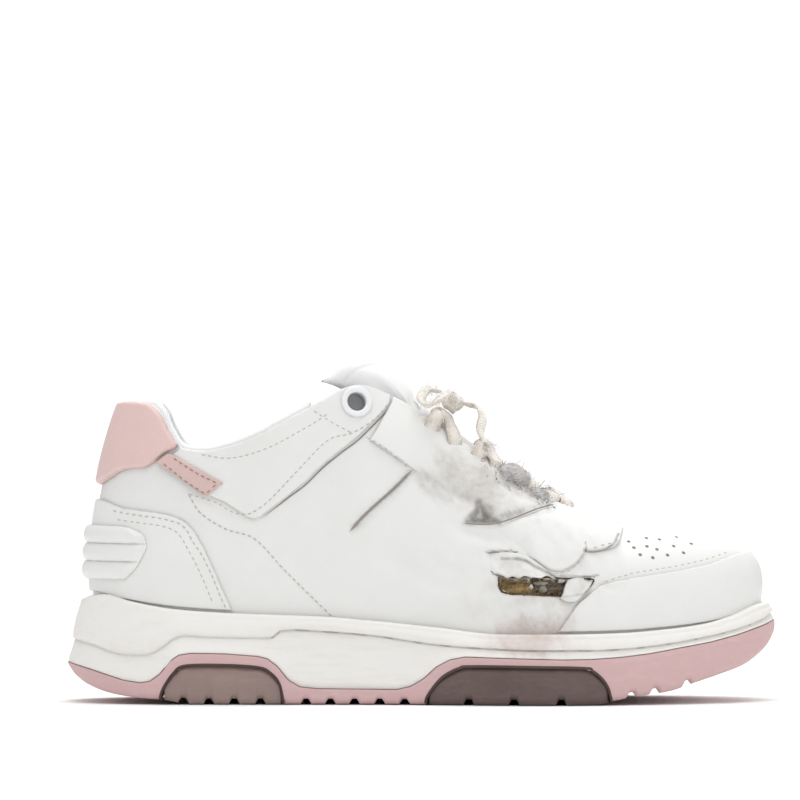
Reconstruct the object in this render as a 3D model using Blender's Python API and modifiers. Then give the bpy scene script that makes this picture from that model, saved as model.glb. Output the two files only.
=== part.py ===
"""A low leather sneaker for the right foot, worn, standing empty on its sole.

Units are metres, +Z is up, +X points to the toe and -Y is the outer side of the foot.
The shoe is worked out from the back of the heel at the ground; ORIGIN then moves it so that
the middle of its footprint is the origin.
"""

import math

import bmesh
import bpy
import numpy as np
from mathutils import Vector
from mathutils.bvhtree import BVHTree

# Driving dimensions
LENGTH = 0.2830            # outsole, back of the heel to the toe
BALL_WIDTH = 0.1050        # outsole across the ball
HEEL_WIDTH = 0.0800        # outsole across the heel
WAIST_WIDTH = 0.0790       # outsole across the arch
SOLE_HEIGHT = 0.0430       # ground to the cup's rim at the heel
UPPER_HEIGHT = 0.1260      # ground to the collar's peak at the top eyelet
TOE_SWING = 0.0110         # how far the toe leans to the inner side

WALL = 0.0022              # upper leather with its lining
PANEL = 0.0012             # overlay leather
TAB_PAD = 0.0026           # padded heel tab
RIB_RISE = 0.0013          # how far a heel rib swells over its base
COLLAR_PAD = 0.0062        # padded collar at its thickest
COLLAR_DEPTH = 0.0330      # how far the padding reaches down inside
INSOLE_THICKNESS = 0.0045
TONGUE_PAD = 0.0050
TONGUE_HALF = 0.0250       # half the width of the tongue's free top
TONGUE_BACK = 0.0190       # how far its sides sweep back
TONGUE_DROP = 0.0130       # how far its corners fall
TONGUE_FEELERS = (0, 0.002, 0.004, 0.007)  # depths at which its wings feel for the leather
GAP = 0.0003               # between touching pieces

RIM_THICKNESS = 0.0038     # cup wall at its top
RIM_ROUNDING = 0.0016      # how far below its rim the cup begins to turn over
RIM_TURN = 0.0011          # how far in the outer side of the rim's top lies
RIM_SOFTENING = (0.0006, 0.0010)  # inset and drop of the rim's inner edge
STEP_RELIEF = 0.0005       # the upper band of the cup's side stands this far proud
GROUND_INSET = 0.0030      # rounding of the outsole's lower edge
PAD_INSET = 0.0011         # tread pads sit this far inside the outsole's side
GROOVE_DEPTH = 0.0021      # cross grooves of the tread
GROOVE_WIDTH = 0.0044
CHANNEL_WIDTH = 0.0034     # long channels of the tread
CHANNEL_DEPTH = 0.0016

EYELET_BORE = 0.0038       # radius of the top eyelet's hole
EYELET_FLANGE = 0.0062     # radius of its ring
EYELET_WALL = 0.0006       # barrel's wall
EYELET_RISE = 0.0011       # ring's thickness
EYELET_SIDES = 12
LACE_WIDTH = 0.0062
LACE_THICKNESS = 0.0013
BOW_CORD = 0.0036          # thickness of the bow's cords
KNOT_RADIUS = 0.0043
CROSSINGS = 4

# Side-view lines of the sole: (share of LENGTH, share of SOLE_HEIGHT)
GROUND_LINE = [
    (0, 0.34), (0.012, 0.223), (0.035, 0.14), (0.066, 0.084), (0.106, 0.052), (0.134, 0.041),
    (0.18, 0), (0.745, 0), (0.77, 0.035), (0.812, 0.081), (0.849, 0.115), (0.883, 0.183),
    (0.924, 0.265), (0.955, 0.333), (0.976, 0.416), (0.99, 0.498), (1, 0.6),
]
CUP_LINE = [
    (0, 0.363), (0.035, 0.307), (0.082, 0.214), (0.106, 0.191), (0.120, 0.2065), (0.134, 0.275),
    (0.1485, 0.39), (0.16, 0.4465), (0.177, 0.465), (0.2235, 0.46), (0.27, 0.437),
    (0.284, 0.414), (0.298, 0.344), (0.3126, 0.223), (0.329, 0.158), (0.355, 0.14),
    (0.465, 0.134), (0.484, 0.164), (0.502, 0.234), (0.52, 0.344), (0.539, 0.41),
    (0.56, 0.437), (0.607, 0.428), (0.696, 0.413), (0.737, 0.416), (0.779, 0.4335),
    (0.82, 0.465), (0.861, 0.512), (0.904, 0.558), (0.945, 0.623), (0.986, 0.707), (1, 0.744),
]
STEP_LINE = [
    (0, 0.577), (0.035, 0.53), (0.0594, 0.476), (0.082, 0.4465), (0.106, 0.4465),
    (0.122, 0.468), (0.1386, 0.53), (0.153, 0.6), (0.167, 0.626), (0.2, 0.614), (0.2885, 0.607),
    (0.303, 0.67), (0.321, 0.679), (0.361, 0.665), (0.423, 0.6326), (0.515, 0.549),
    (0.5686, 0.521), (0.6676, 0.498), (0.738, 0.498), (0.779, 0.507), (0.82, 0.53),
    (0.8536, 0.558), (0.888, 0.595), (0.919, 0.633), (0.949, 0.682), (0.9745, 0.735),
    (0.993, 0.79), (1, 0.82),
]
RIM_LINE = [
    (0, 0.95), (0.02, 0.985), (0.038, 1.0), (0.082, 0.94), (0.153, 0.87), (0.2235, 0.837),
    (0.294, 0.819), (0.355, 0.805), (0.423, 0.769), (0.515, 0.707), (0.607, 0.647),
    (0.7086, 0.647), (0.779, 0.655), (0.842, 0.682), (0.904, 0.729), (0.945, 0.797),
    (0.986, 0.893), (1, 0.91),
]
FLOOR_LINE = [
    (0, 0.72), (0.1, 0.71), (0.25, 0.68), (0.4, 0.61), (0.55, 0.54), (0.65, 0.525),
    (0.75, 0.53), (0.82, 0.56), (0.88, 0.60), (0.93, 0.66), (0.97, 0.72), (1, 0.79),
]
HEEL_ARCH = [
    (0.134, 0.041), (0.1386, 0.144), (0.153, 0.284), (0.169, 0.353), (0.2235, 0.36),
    (0.27, 0.34), (0.2865, 0.298), (0.3007, 0.19), (0.3072, 0.0),
]
BALL_ARCH = [
    (0.5047, 0.0), (0.508, 0.084), (0.527, 0.245), (0.551, 0.335), (0.5757, 0.355),
    (0.717, 0.343), (0.738, 0.31), (0.7567, 0.186), (0.7645, 0.026),
]
# Insets of the cup's rim from the footprint: (share of LENGTH, share of SOLE_HEIGHT)
RIM_INSET = [(0, 0.125), (0.2, 0.085), (0.5, 0.072), (0.75, 0.056), (1, 0.05)]
# Middles of the cross grooves, shares of LENGTH
HEEL_GROOVES = (0.167, 0.2023, 0.2377, 0.2744)
WAIST_GROOVES = (0.338, 0.372, 0.4056, 0.4403, 0.4745)
BALL_GROOVES = (0.5652, 0.628, 0.6938)
TOE_GROOVES = (0.794, 0.8274, 0.8733)

# The upper's edge from the heel round to the toe. Columns: share of the way round one side,
# share of LENGTH, half width as a share of BALL_WIDTH, share of UPPER_HEIGHT.
TOP_EDGE = [
    (0.00, 0.0795, 0.000, 0.941), (0.07, 0.0866, 0.086, 0.944), (0.12, 0.1007, 0.160, 0.945),
    (0.16, 0.1184, 0.208, 0.941), (0.19, 0.1345, 0.236, 0.909), (0.22, 0.1485, 0.257, 0.849),
    (0.25, 0.1661, 0.274, 0.802), (0.28, 0.1943, 0.288, 0.794), (0.315, 0.2297, 0.297, 0.809),
    (0.35, 0.2720, 0.297, 0.847), (0.385, 0.3180, 0.283, 0.903), (0.42, 0.3640, 0.254, 0.957),
    (0.445, 0.3922, 0.230, 0.992), (0.46, 0.4100, 0.212, 1.0), (0.485, 0.4594, 0.150, 0.960),
    (0.53, 0.5410, 0.138, 0.836), (0.58, 0.6080, 0.128, 0.738), (0.63, 0.6680, 0.120, 0.653),
    (0.665, 0.7080, 0.108, 0.605), (0.69, 0.7350, 0.080, 0.578), (0.705, 0.7491, 0.000, 0.568),
    (0.76, 0.7774, 0.000, 0.556), (0.82, 0.8127, 0.000, 0.542), (0.88, 0.8410, 0.000, 0.531),
    (0.94, 0.8622, 0.000, 0.5215), (1.00, 0.8799, 0.000, 0.5135),
]
CLOSED_FROM = 0.705        # from here to the toe the two sides meet along the ridge
# Share of the way round one side against how far the section has closed over the foot
DOMING = [(0, 0), (0.3, 0), (0.4, 0.12), (0.46, 0.3), (0.55, 0.55), (0.65, 0.82), (0.71, 1), (1, 1)]
BULGE = [(0, 0.0010), (0.2, 0.0006), (0.45, 0.0), (0.62, 0.0016), (0.75, 0.0022), (1, 0.0020)]
SQUARENESS = [(0, 2.0), (0.55, 2.0), (0.75, 2.35), (1, 2.6)]
COLUMNS = (
    0, 0.06, 0.12, 0.16, 0.19, 0.22, 0.25, 0.28, 0.315, 0.35, 0.385, 0.42, 0.445, 0.46,
    0.485, 0.515, 0.555, 0.595, 0.63, 0.665, 0.69, 0.705, 0.74, 0.78, 0.82, 0.86, 0.90,
    0.95, 1.0,
)
ROWS = (0.0, 0.14, 0.28, 0.43, 0.58, 0.73, 0.87, 1.0)

# Overlay outlines seen from the side: (share of LENGTH, share of UPPER_HEIGHT)
TAB_OUTLINE = [
    (0.0382, 0.667), (0.0510, 0.686), (0.0640, 0.705), (0.0796, 0.729), (0.0926, 0.7365),
    (0.1143, 0.739), (0.1273, 0.7587), (0.1400, 0.785), (0.1608, 0.807), (0.1608, 0.90),
    (0.1340, 0.99), (0.0382, 0.99),
]
COUNTER_OUTLINE = [
    (0.020, 0.10), (0.020, 0.638), (0.054, 0.6365), (0.0806, 0.613), (0.116, 0.603),
    (0.1443, 0.594), (0.168, 0.575), (0.1825, 0.54), (0.198, 0.476), (0.212, 0.406),
    (0.2263, 0.333), (0.2370, 0.285), (0.2390, 0.10),
]
TOE_GUARD_OUTLINE = [
    (0.7496, 0.3746), (0.7807, 0.3889), (0.8204, 0.4016), (0.86, 0.4143), (0.901, 0.4317),
    (0.932, 0.454), (0.962, 0.470), (1.04, 0.49), (1.04, 0.05), (0.69, 0.05), (0.6888, 0.238),
    (0.7171, 0.3175),
]
EYESTAY_OUTLINE = [
    (0.4606, 1.03), (0.5000, 1.03), (0.7400, 0.640), (0.7365, 0.568), (0.7284, 0.476), (0.7143, 0.438),
    (0.696, 0.416), (0.679, 0.419), (0.6535, 0.457), (0.618, 0.505), (0.5686, 0.594),
    (0.5262, 0.67), (0.4866, 0.7365), (0.4265, 0.827),
    (0.4508, 0.922), (0.4598, 0.957),
]
THROAT_TAB_OUTLINE = [
    (0.7420, 0.620), (0.7836, 0.620), (0.7836, 0.545), (0.7795, 0.512), (0.7694, 0.490),
    (0.7530, 0.480), (0.7318, 0.476), (0.7388, 0.568),
]
COLLAR_PANEL_OUTLINE = [
    (0.1635, 0.802), (0.1900, 1.03), (0.4580, 1.03), (0.4570, 0.958), (0.4475, 0.922),
    (0.4110, 0.839), (0.3857, 0.794), (0.3605, 0.748), (0.3352, 0.694), (0.3150, 0.657),
    (0.2744, 0.587), (0.2631, 0.578), (0.2518, 0.590), (0.2263, 0.63), (0.2000, 0.656),
    (0.1358, 0.754), (0.1440, 0.772),
]
STRAP_OUTLINE = [
    (0.1295, 0.7545), (0.1985, 0.6489), (0.2214, 0.6927), (0.1490, 0.786), (0.1418, 0.7795),
]
RIBS_OUTLINE = [
    (0.020, 0.389), (0.0820, 0.387), (0.0920, 0.389), (0.1013, 0.423), (0.1100, 0.457),
    (0.1164, 0.492), (0.1140, 0.521), (0.0820, 0.549), (0.020, 0.556),
]
TEAR_OUTLINE = [
    (0.607, 0.400), (0.618, 0.3985), (0.655, 0.401), (0.700, 0.395), (0.735, 0.393),
    (0.7378, 0.381), (0.727, 0.357), (0.712, 0.346), (0.690, 0.341), (0.655, 0.345),
    (0.618, 0.349), (0.6085, 0.366),
]
EYELET_PLACE = (0.4072, 0.9456)
TONGUE_TOP = (0.430, 1.085)
LACE_ROWS = (0.500, 0.542, 0.584, 0.626, 0.666)

# Section of the padded collar: (share of COLLAR_DEPTH down from the edge, share of COLLAR_PAD inward)
COLLAR_SECTION = [
    (0.03, 0.0), (0.5, 0.0), (1.0, 0.0), (1.0, 0.22), (0.72, 0.75), (0.42, 1.0), (0.17, 1.0),
    (0.0, 0.86), (-0.06, 0.5), (-0.04, 0.12),
]


def curve_through(points):
    """A cubic through (x, y) points that never swings past them."""
    xs, ys = (np.array(column, float) for column in zip(*points))
    steps = np.diff(xs)
    slopes = np.diff(ys) / steps
    tangents = np.concatenate([slopes[:1], np.zeros(len(xs) - 2), slopes[-1:]])
    for i in range(1, len(xs) - 1):
        if slopes[i - 1] * slopes[i] > 0:
            near, far = 2 * steps[i] + steps[i - 1], steps[i] + 2 * steps[i - 1]
            tangents[i] = (near + far) / (near / slopes[i - 1] + far / slopes[i])

    def value(x):
        x = np.clip(x, xs[0], xs[-1])
        i = np.clip(np.searchsorted(xs, x) - 1, 0, len(steps) - 1)
        t = (x - xs[i]) / steps[i]
        rise = (1 + 2 * t) * (1 - t) ** 2 * ys[i] + t * t * (3 - 2 * t) * ys[i + 1]
        return rise + steps[i] * t * (1 - t) * ((1 - t) * tangents[i] - t * tangents[i + 1])

    return value


def sole_line(table):
    """A side-view line of the sole: height in metres for a place along the shoe in metres."""
    shares = curve_through(table)
    return lambda x: SOLE_HEIGHT * shares(np.asarray(x) / LENGTH)


def joint_line(table):
    """A side-view line where two rubbers meet. It is straight between its points, so that both
    pieces follow it exactly however finely each is divided."""
    xs, zs = (np.array(column, float) for column in zip(*table))
    return lambda x: SOLE_HEIGHT * np.interp(np.asarray(x) / LENGTH, xs, zs)


cup_line = joint_line(CUP_LINE)
step_line = sole_line(STEP_LINE)
rim_line = sole_line(RIM_LINE)
floor_line = sole_line(FLOOR_LINE)
rim_inset = sole_line(RIM_INSET)
half_width = curve_through([
    (0, HEEL_WIDTH / 2), (0.2, HEEL_WIDTH / 2), (0.42, WAIST_WIDTH / 2),
    (0.70, BALL_WIDTH / 2), (1, BALL_WIDTH * 0.49),
])
middle = curve_through([
    (0, 0), (0.3, -0.06 * TOE_SWING), (0.5, -0.14 * TOE_SWING), (0.64, -0.05 * TOE_SWING),
    (0.8, 0.42 * TOE_SWING), (0.9, 0.72 * TOE_SWING), (1, TOE_SWING),
])
HEEL_ROUND, TOE_ROUND = 0.17, 0.33      # lengths of the round ends, shares of LENGTH
HEEL_POWER, TOE_POWER = 2.15, 2.1


def footprint(turn):
    """The outsole's outline. turn runs from -pi (toe) by the outer side to 0 (heel) and on to pi."""
    turn = np.asarray(turn, float)
    share = (1 - np.cos(turn)) / 2
    heel = np.clip(1 - share / HEEL_ROUND, 0, 1)
    toe = np.clip(1 - (1 - share) / TOE_ROUND, 0, 1)
    closing = (1 - heel**HEEL_POWER) ** (1 / HEEL_POWER) * (1 - toe**TOE_POWER) ** (1 / TOE_POWER)
    side = np.sign(np.sin(turn))
    return np.stack([share * LENGTH, middle(share) + side * half_width(share) * closing], -1)


def outline(turn, inset=0.0):
    """The footprint drawn in by inset along its own normals."""
    turn = np.asarray(turn, float)
    tiny = 1e-3
    along = footprint(turn + tiny) - footprint(turn - tiny)
    normal = np.stack([-along[..., 1], along[..., 0]], -1)
    normal /= np.linalg.norm(normal, axis=-1, keepdims=True)
    return footprint(turn) - normal * np.asarray(inset)[..., None]


def turns_at(shares):
    """Turns of the outline at the given shares of LENGTH, round both sides, without repeats."""
    one_side = np.arccos(1 - 2 * np.unique(np.round(shares, 5)))
    return np.concatenate([-one_side[::-1], one_side[1:-1]])


def even_shares(count):
    return (1 - np.cos(np.linspace(0, math.pi, count))) / 2


def steep_gap(line, x):
    """GAP measured square to a side-view line, so that steep stretches keep it too."""
    tiny = LENGTH * 1e-3
    slope = (line(x + tiny) - line(x - tiny)) / (2 * tiny)
    return GAP * np.sqrt(1 + slope**2)


# The sneaker stands with the middle of its footprint on the origin.
_around = footprint(np.linspace(-math.pi, math.pi, 721))
ORIGIN = Vector((*(-(_around.min(0) + _around.max(0)) / 2), 0))

MATERIALS = {}
SNEAKER = bpy.data.collections.new("sneaker")
CUTTERS = bpy.data.collections.new("cutters")


def material(name, colour, roughness):
    """One plain finish for each kind of stuff."""
    if name not in MATERIALS:
        made = bpy.data.materials.new(name)
        made.use_nodes = True
        shader = made.node_tree.nodes["Principled BSDF"]
        shader.inputs["Base Color"].default_value = (*colour, 1)
        shader.inputs["Roughness"].default_value = roughness
        shader.inputs["Metallic"].default_value = 0.0
        MATERIALS[name] = made
    return MATERIALS[name]


WHITE_LEATHER = ("white leather", (0.80, 0.80, 0.78), 0.45)
PINK_LEATHER = ("pink leather", (0.72, 0.45, 0.43), 0.45)
PINK_RUBBER = ("pink rubber", (0.62, 0.36, 0.38), 0.6)
CREAM_RUBBER = ("cream rubber", (0.78, 0.75, 0.69), 0.55)
TREAD_RUBBER = ("taupe rubber", (0.16, 0.11, 0.10), 0.5)
LINING = ("lining", (0.80, 0.81, 0.81), 0.9)
LACE = ("lace", (0.78, 0.74, 0.68), 0.9)


def put_in(obj, finish, collection=SNEAKER):
    """Links an object, gives it its finish and moves it from the heel's frame to the origin."""
    collection.objects.link(obj)
    obj.location = ORIGIN
    if finish:
        obj.data.materials.append(material(*finish))
    if collection is CUTTERS:
        obj.hide_render = True
        obj.display_type = "WIRE"
    return obj


def mesh_from(name, points, faces, finish, collection=SNEAKER, closed=True):
    """A mesh object from points and faces, welded, with its faces turned outwards."""
    mesh = bpy.data.meshes.new(name)
    mesh.from_pydata([tuple(map(float, p)) for p in points], [], faces)
    work = bmesh.new()
    work.from_mesh(mesh)
    bmesh.ops.remove_doubles(work, verts=work.verts, dist=1e-6)
    bmesh.ops.dissolve_degenerate(work, edges=work.edges, dist=1e-7)
    if closed:
        bmesh.ops.recalc_face_normals(work, faces=work.faces)
    work.to_mesh(mesh)
    work.free()
    mesh.shade_smooth()
    mesh.set_sharp_from_angle(angle=math.radians(35))
    return put_in(bpy.data.objects.new(name, mesh), finish, collection)


def grid_faces(rows, columns, wrap_rows=False, wrap_columns=False):
    """Quads of a grid whose points are numbered row by row."""
    made = []
    for r in range(rows if wrap_rows else rows - 1):
        for c in range(columns if wrap_columns else columns - 1):
            up, on = (r + 1) % rows, (c + 1) % columns
            made.append((r * columns + c, r * columns + on, up * columns + on, up * columns + c))
    return made


def ring_solid(name, turns, rings, finish):
    """A solid of stacked rings round the footprint, closed below and above by strips across."""
    count = len(turns)
    points, faces = [], grid_faces(len(rings), count, wrap_columns=True)
    for inset, height in rings:
        flat = outline(turns, inset)
        points += [(x, y, z) for (x, y), z in zip(flat, height(flat[:, 0], turns))]
    half = count // 2
    for first in (0, (len(rings) - 1) * count):
        for i in range(half):
            j = (count - i) % count
            across = (first + i, first + i + 1, first + (count - i - 1) % count, first + j)
            faces.append(tuple(dict.fromkeys(across)))
    return mesh_from(name, points, faces, finish)


def with_grooves(table, grooves):
    """A ground line's function, raised into a trapezoid at each cross groove, and its stations."""
    base = sole_line(table)
    foot, head = GROOVE_WIDTH / 2 / LENGTH, GROOVE_WIDTH / 5 / LENGTH
    stations = [g + d for g in grooves for d in (-foot, -head, head, foot)]

    def height(x):
        x = np.asarray(x, float)
        z = base(x)
        for g in grooves:
            off = np.abs(x / LENGTH - g)
            z = z + GROOVE_DEPTH * np.clip((foot - off) / (foot - head), 0, 1)
        return z

    return height, stations


def base_x(turns):
    """Place along the shoe of the uninset footprint, used where a line must not drift with inset."""
    return footprint(turns)[:, 0]


def build_outsole():
    """Pink outsole: the ground line below, the cup line above, arches where the tread pads sit."""
    ground, groove_stations = with_grooves(GROUND_LINE, WAIST_GROOVES + TOE_GROOVES)
    heel_arch, ball_arch = joint_line(HEEL_ARCH), joint_line(BALL_ARCH)
    arch_spans = [(HEEL_ARCH[0][0], HEEL_ARCH[-1][0]), (BALL_ARCH[0][0], BALL_ARCH[-1][0])]
    kept = groove_stations + [x for x, _ in HEEL_ARCH + BALL_ARCH + CUP_LINE]
    turns = turns_at(thin_out(even_shares(20), kept, 0.08))

    def in_arch(x):
        share = x / LENGTH
        tiny = 1e-4
        return sum(((share > a - tiny) & (share < b + tiny)).astype(float) for a, b in arch_spans)

    def low(x, turns):
        x = base_x(turns)
        share = x / LENGTH
        z = ground(x)
        for (a, b), arch in zip(arch_spans, (heel_arch, ball_arch)):
            z = np.where((share > a) & (share < b), np.maximum(arch(x), z), z)
        return z

    def middle_ring(x, turns):
        bottom = low(x, turns)
        return bottom + np.minimum(GROUND_INSET, (cup_line(base_x(turns)) - bottom) / 2)

    low_inset = GROUND_INSET * (1 - 0.9 * in_arch(base_x(turns)))
    zero = np.zeros(len(turns))
    return ring_solid("outsole", turns, [
        (low_inset, low),
        (low_inset * 0.2, middle_ring),
        (zero, lambda x, turns: cup_line(base_x(turns))),
    ], PINK_RUBBER)


def thin_out(shares, kept, least=0.05):
    """The kept stations with those of the others that don't crowd them, told by turn."""
    kept = np.array(sorted(kept))
    turned = np.arccos(1 - 2 * kept)
    loose = [s for s in shares if np.abs(turned - math.acos(1 - 2 * s)).min() > least]
    return np.concatenate([[0.0, 1.0], kept, loose])


def build_tread(name, arch_table, grooves):
    """A tread pad under one arch of the outsole, with its cross grooves, right across the shoe."""
    arch = joint_line(arch_table)
    ground, groove_stations = with_grooves(GROUND_LINE, grooves)
    first, last = arch_table[1][0] + 0.0015, arch_table[-2][0] + 0.0025
    inner = [x for x, _ in arch_table[2:-1]]
    shares = sorted([first, *inner, *groove_stations, last])
    turns = np.arccos(1 - 2 * np.array(shares))
    x = LENGTH * (1 - np.cos(turns)) / 2
    top = arch(x) - steep_gap(arch, x)
    bottom = ground(x)
    shoulder = np.minimum(bottom + GROUND_INSET, (top + bottom) / 2)
    levels = [(GROUND_INSET, bottom), (PAD_INSET, shoulder), (PAD_INSET, top)]
    section = [(-1, *level) for level in levels] + [(1, *level) for level in reversed(levels)]
    points = []
    for side, inset, z in section:
        flat = outline(side * turns, inset)
        points += list(zip(x, flat[:, 1], z))
    count, columns = len(section), len(turns)
    faces = grid_faces(count, columns, wrap_rows=True)
    faces.append(tuple(r * columns for r in range(count)))
    faces.append(tuple(r * columns + columns - 1 for r in range(count)))
    return mesh_from(name, points, faces, TREAD_RUBBER)


def build_midsole():
    """Cream cup: stepped side, rounded rim and the hollow that takes the upper."""
    turns = turns_at(thin_out(even_shares(25), [x for x, _ in CUP_LINE + STEP_LINE[5:12]], 0.055))
    lip = rim_inset(base_x(turns))
    inner = lip + RIM_THICKNESS

    def bottom(x, turns):
        x = base_x(turns)
        return cup_line(x) + steep_gap(cup_line, x)

    def between(share, shift=0.0):
        return lambda x, turns: step_line(x) * share + bottom(x, turns) * (1 - share) + shift

    half_step = STEP_RELIEF * 0.8
    rise = (step_line(base_x(turns)) - cup_line(base_x(turns))) / (
        rim_line(base_x(turns)) - cup_line(base_x(turns)))
    return ring_solid("midsole", turns, [
        (lip * 0, bottom),
        (lip * rise * 0.5 + STEP_RELIEF, between(0.5)),
        (lip * rise + STEP_RELIEF * 1.6, between(1, -half_step)),
        (lip * rise - STEP_RELIEF * 0.4, between(1, half_step)),
        (lip - STEP_RELIEF * 0.5, lambda x, turns: rim_line(x) - RIM_ROUNDING),
        (lip + RIM_TURN, lambda x, turns: rim_line(x)),
        (inner - RIM_SOFTENING[0], lambda x, turns: rim_line(x)),
        (inner, lambda x, turns: rim_line(x) - RIM_SOFTENING[1]),
        (inner, lambda x, turns: floor_line(x)),
    ], CREAM_RUBBER)


def cup_inner_inset(turns):
    """Inset of the cup's inner wall."""
    return rim_inset(base_x(turns)) + RIM_THICKNESS


def build_insole():
    """Footbed lying on the cup's floor, inside the upper."""
    turns = turns_at(even_shares(22))
    inset = cup_inner_inset(turns) + WALL + 5 * GAP
    return ring_solid("insole", turns, [
        (inset, lambda x, turns: floor_line(x) + GAP),
        (inset, lambda x, turns: floor_line(x) + GAP + INSOLE_THICKNESS * 0.75),
        (inset + INSOLE_THICKNESS * 0.3, lambda x, turns: floor_line(x) + GAP + INSOLE_THICKNESS),
    ], LINING)


top_x, top_half, top_z = (
    curve_through([(row[0], row[k]) for row in TOP_EDGE]) for k in (1, 2, 3)
)
doming, bulge, squareness = (curve_through(t) for t in (DOMING, BULGE, SQUARENESS))


def last_point(way, height):
    """The outside of the upper. way is -1 to 1, outer side negative, 0 at the heel and 1 at the toe.
    height is 0 at the cup's rim and 1 at the top edge or the ridge. A section is a straight lean
    at the collar that turns into a quarter superellipse where the upper closes over the foot."""
    way, height = np.broadcast_arrays(np.asarray(way, float), np.asarray(height, float))
    part, side = np.abs(way), np.where(way < 0, -1.0, 1.0)
    turns = side * np.clip(part, 1e-5, 1 - 1e-5) * math.pi
    flat = outline(turns, cup_inner_inset(turns.ravel()).reshape(turns.shape) + 3 * GAP)
    base = np.stack([flat[..., 0], flat[..., 1], rim_line(flat[..., 0]) + 3 * GAP], -1)
    share = top_x(part)
    top = np.stack([
        share * LENGTH, middle(share) + side * top_half(part) * BALL_WIDTH,
        top_z(part) * UPPER_HEIGHT], -1)
    closed, power = doming(part), squareness(part)
    angle = np.clip(height, 0, 1) * math.pi / 2
    up = (1 - closed) * height + closed * np.sin(angle) ** (2 / power)
    lean = np.clip(height, 0, None) ** 1.7
    over = (1 - closed) * lean + closed * (1 - np.clip(np.cos(angle), 0, 1) ** (2 / power))
    point = base + (top - base) * np.stack([over, over, up], -1)
    swell = bulge(part) * np.sin(np.clip(height, 0, 1) * math.pi)
    outward = flat - outline(turns, cup_inner_inset(turns.ravel()).reshape(turns.shape) + 0.001)
    outward = outward / np.linalg.norm(outward, axis=-1, keepdims=True)
    point[..., :2] += outward * swell[..., None]
    return point


def last_normal(way, height):
    """Outward normal of last_point, away from the ridge."""
    d = 1e-3
    along = last_point(way + d, height) - last_point(way - d, height)
    up = last_point(way, height + d) - last_point(way, height - d)
    normal = np.cross(up, along)
    return normal / np.linalg.norm(normal, axis=-1, keepdims=True)


def upper_surface():
    """The open outer surface as a welded bmesh, reaching down into the cup, faces outwards."""
    ways = np.array([-w for w in COLUMNS[:0:-1]] + list(COLUMNS[:-1]))
    grid = [last_point(ways, np.full(len(ways), h)) for h in ROWS]
    skirt = grid[0].copy()
    skirt[:, 2] = floor_line(skirt[:, 0]) + GAP
    rows = [skirt] + grid
    surface = bmesh.new()
    points = [surface.verts.new(p) for row in rows for p in row]
    for quad in grid_faces(len(rows), len(ways), wrap_columns=True):
        surface.faces.new([points[i] for i in quad])
    bmesh.ops.remove_doubles(surface, verts=surface.verts, dist=1e-5)
    surface.normal_update()
    centre = Vector((LENGTH / 2, 0, SOLE_HEIGHT))
    if sum((f.calc_center_median() - centre).dot(f.normal) for f in surface.faces) < 0:
        bmesh.ops.reverse_faces(surface, faces=surface.faces)
    bmesh.ops.triangulate(surface, faces=surface.faces, quad_method="FIXED")
    surface.normal_update()
    return surface


def shell(name, low, high, finish, skirt=False):
    """The closed shell between two offsets of the upper's own surface, the nearer one kept exact."""
    surface = upper_surface()
    if not skirt:
        inside = [v for v in surface.verts if v.co.z < rim_line(v.co.x) + GAP]
        bmesh.ops.delete(surface, geom=inside, context="VERTS")
    surface.normal_update()
    outwards = high > 0
    moves = [(v, v.normal.copy() * (low if outwards else high)) for v in surface.verts]
    for v, move in moves:
        v.co += move
    mesh = bpy.data.meshes.new(name)
    surface.to_mesh(mesh)
    surface.free()
    made = put_in(bpy.data.objects.new(name, mesh), finish)
    wall = made.modifiers.new("wall", "SOLIDIFY")
    wall.thickness = high - low
    wall.offset = 1 if outwards else -1
    wall.use_quality_normals = True
    return made


def side_prism(name, table, sides=(-1, 1)):
    """A cutter: a side-view outline pushed through the given sides of the shoe."""
    edge = BALL_WIDTH * 0.75
    ridge = float(middle(CLOSED_FROM + 0.03))
    low, high = (-edge if -1 in sides else ridge), (edge if 1 in sides else ridge)
    flat = bpy.data.curves.new(name, "CURVE")
    flat.dimensions = "2D"
    flat.fill_mode = "BOTH"
    flat.extrude = (high - low) / 2
    line = flat.splines.new("POLY")
    line.use_cyclic_u = True
    line.points.add(len(table) - 1)
    for spot, (x, z) in zip(line.points, table):
        spot.co = (x * LENGTH, z * UPPER_HEIGHT, 0, 1)
    drawn = put_in(bpy.data.objects.new(name, flat), None, CUTTERS)
    drawn.location += Vector((0, (low + high) / 2, 0))
    drawn.rotation_euler = (math.pi / 2, 0, 0)
    return as_mesh(drawn)


def as_mesh(drawn):
    """A curve object turned into a closed mesh object in the same place."""
    bpy.context.view_layer.update()
    graph = bpy.context.evaluated_depsgraph_get()
    mesh = bpy.data.meshes.new_from_object(drawn.evaluated_get(graph))
    work = bmesh.new()
    work.from_mesh(mesh)
    bmesh.ops.remove_doubles(work, verts=work.verts, dist=1e-6)
    bmesh.ops.recalc_face_normals(work, faces=work.faces)
    work.to_mesh(mesh)
    work.free()
    name, place = drawn.name, drawn.matrix_world.copy()
    bpy.data.objects.remove(drawn)
    solid = put_in(bpy.data.objects.new(name, mesh), None, CUTTERS)
    solid.matrix_world = place
    return solid


def cut(obj, cutter, operation):
    change = obj.modifiers.new(operation.lower(), "BOOLEAN")
    change.operation = operation
    change.solver = "EXACT"
    change.object = cutter
    return obj


def overlay(name, table, low, thickness, finish, sides=(-1, 1)):
    """An overlay: the part of the upper's own shell that lies inside a side-view outline."""
    made = shell(name, low, low + thickness, finish)
    return cut(made, side_prism(f"{name}_outline", table, sides), "INTERSECT")


FIRST_LAYER = GAP
SECOND_LAYER = GAP + PANEL + GAP


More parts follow.
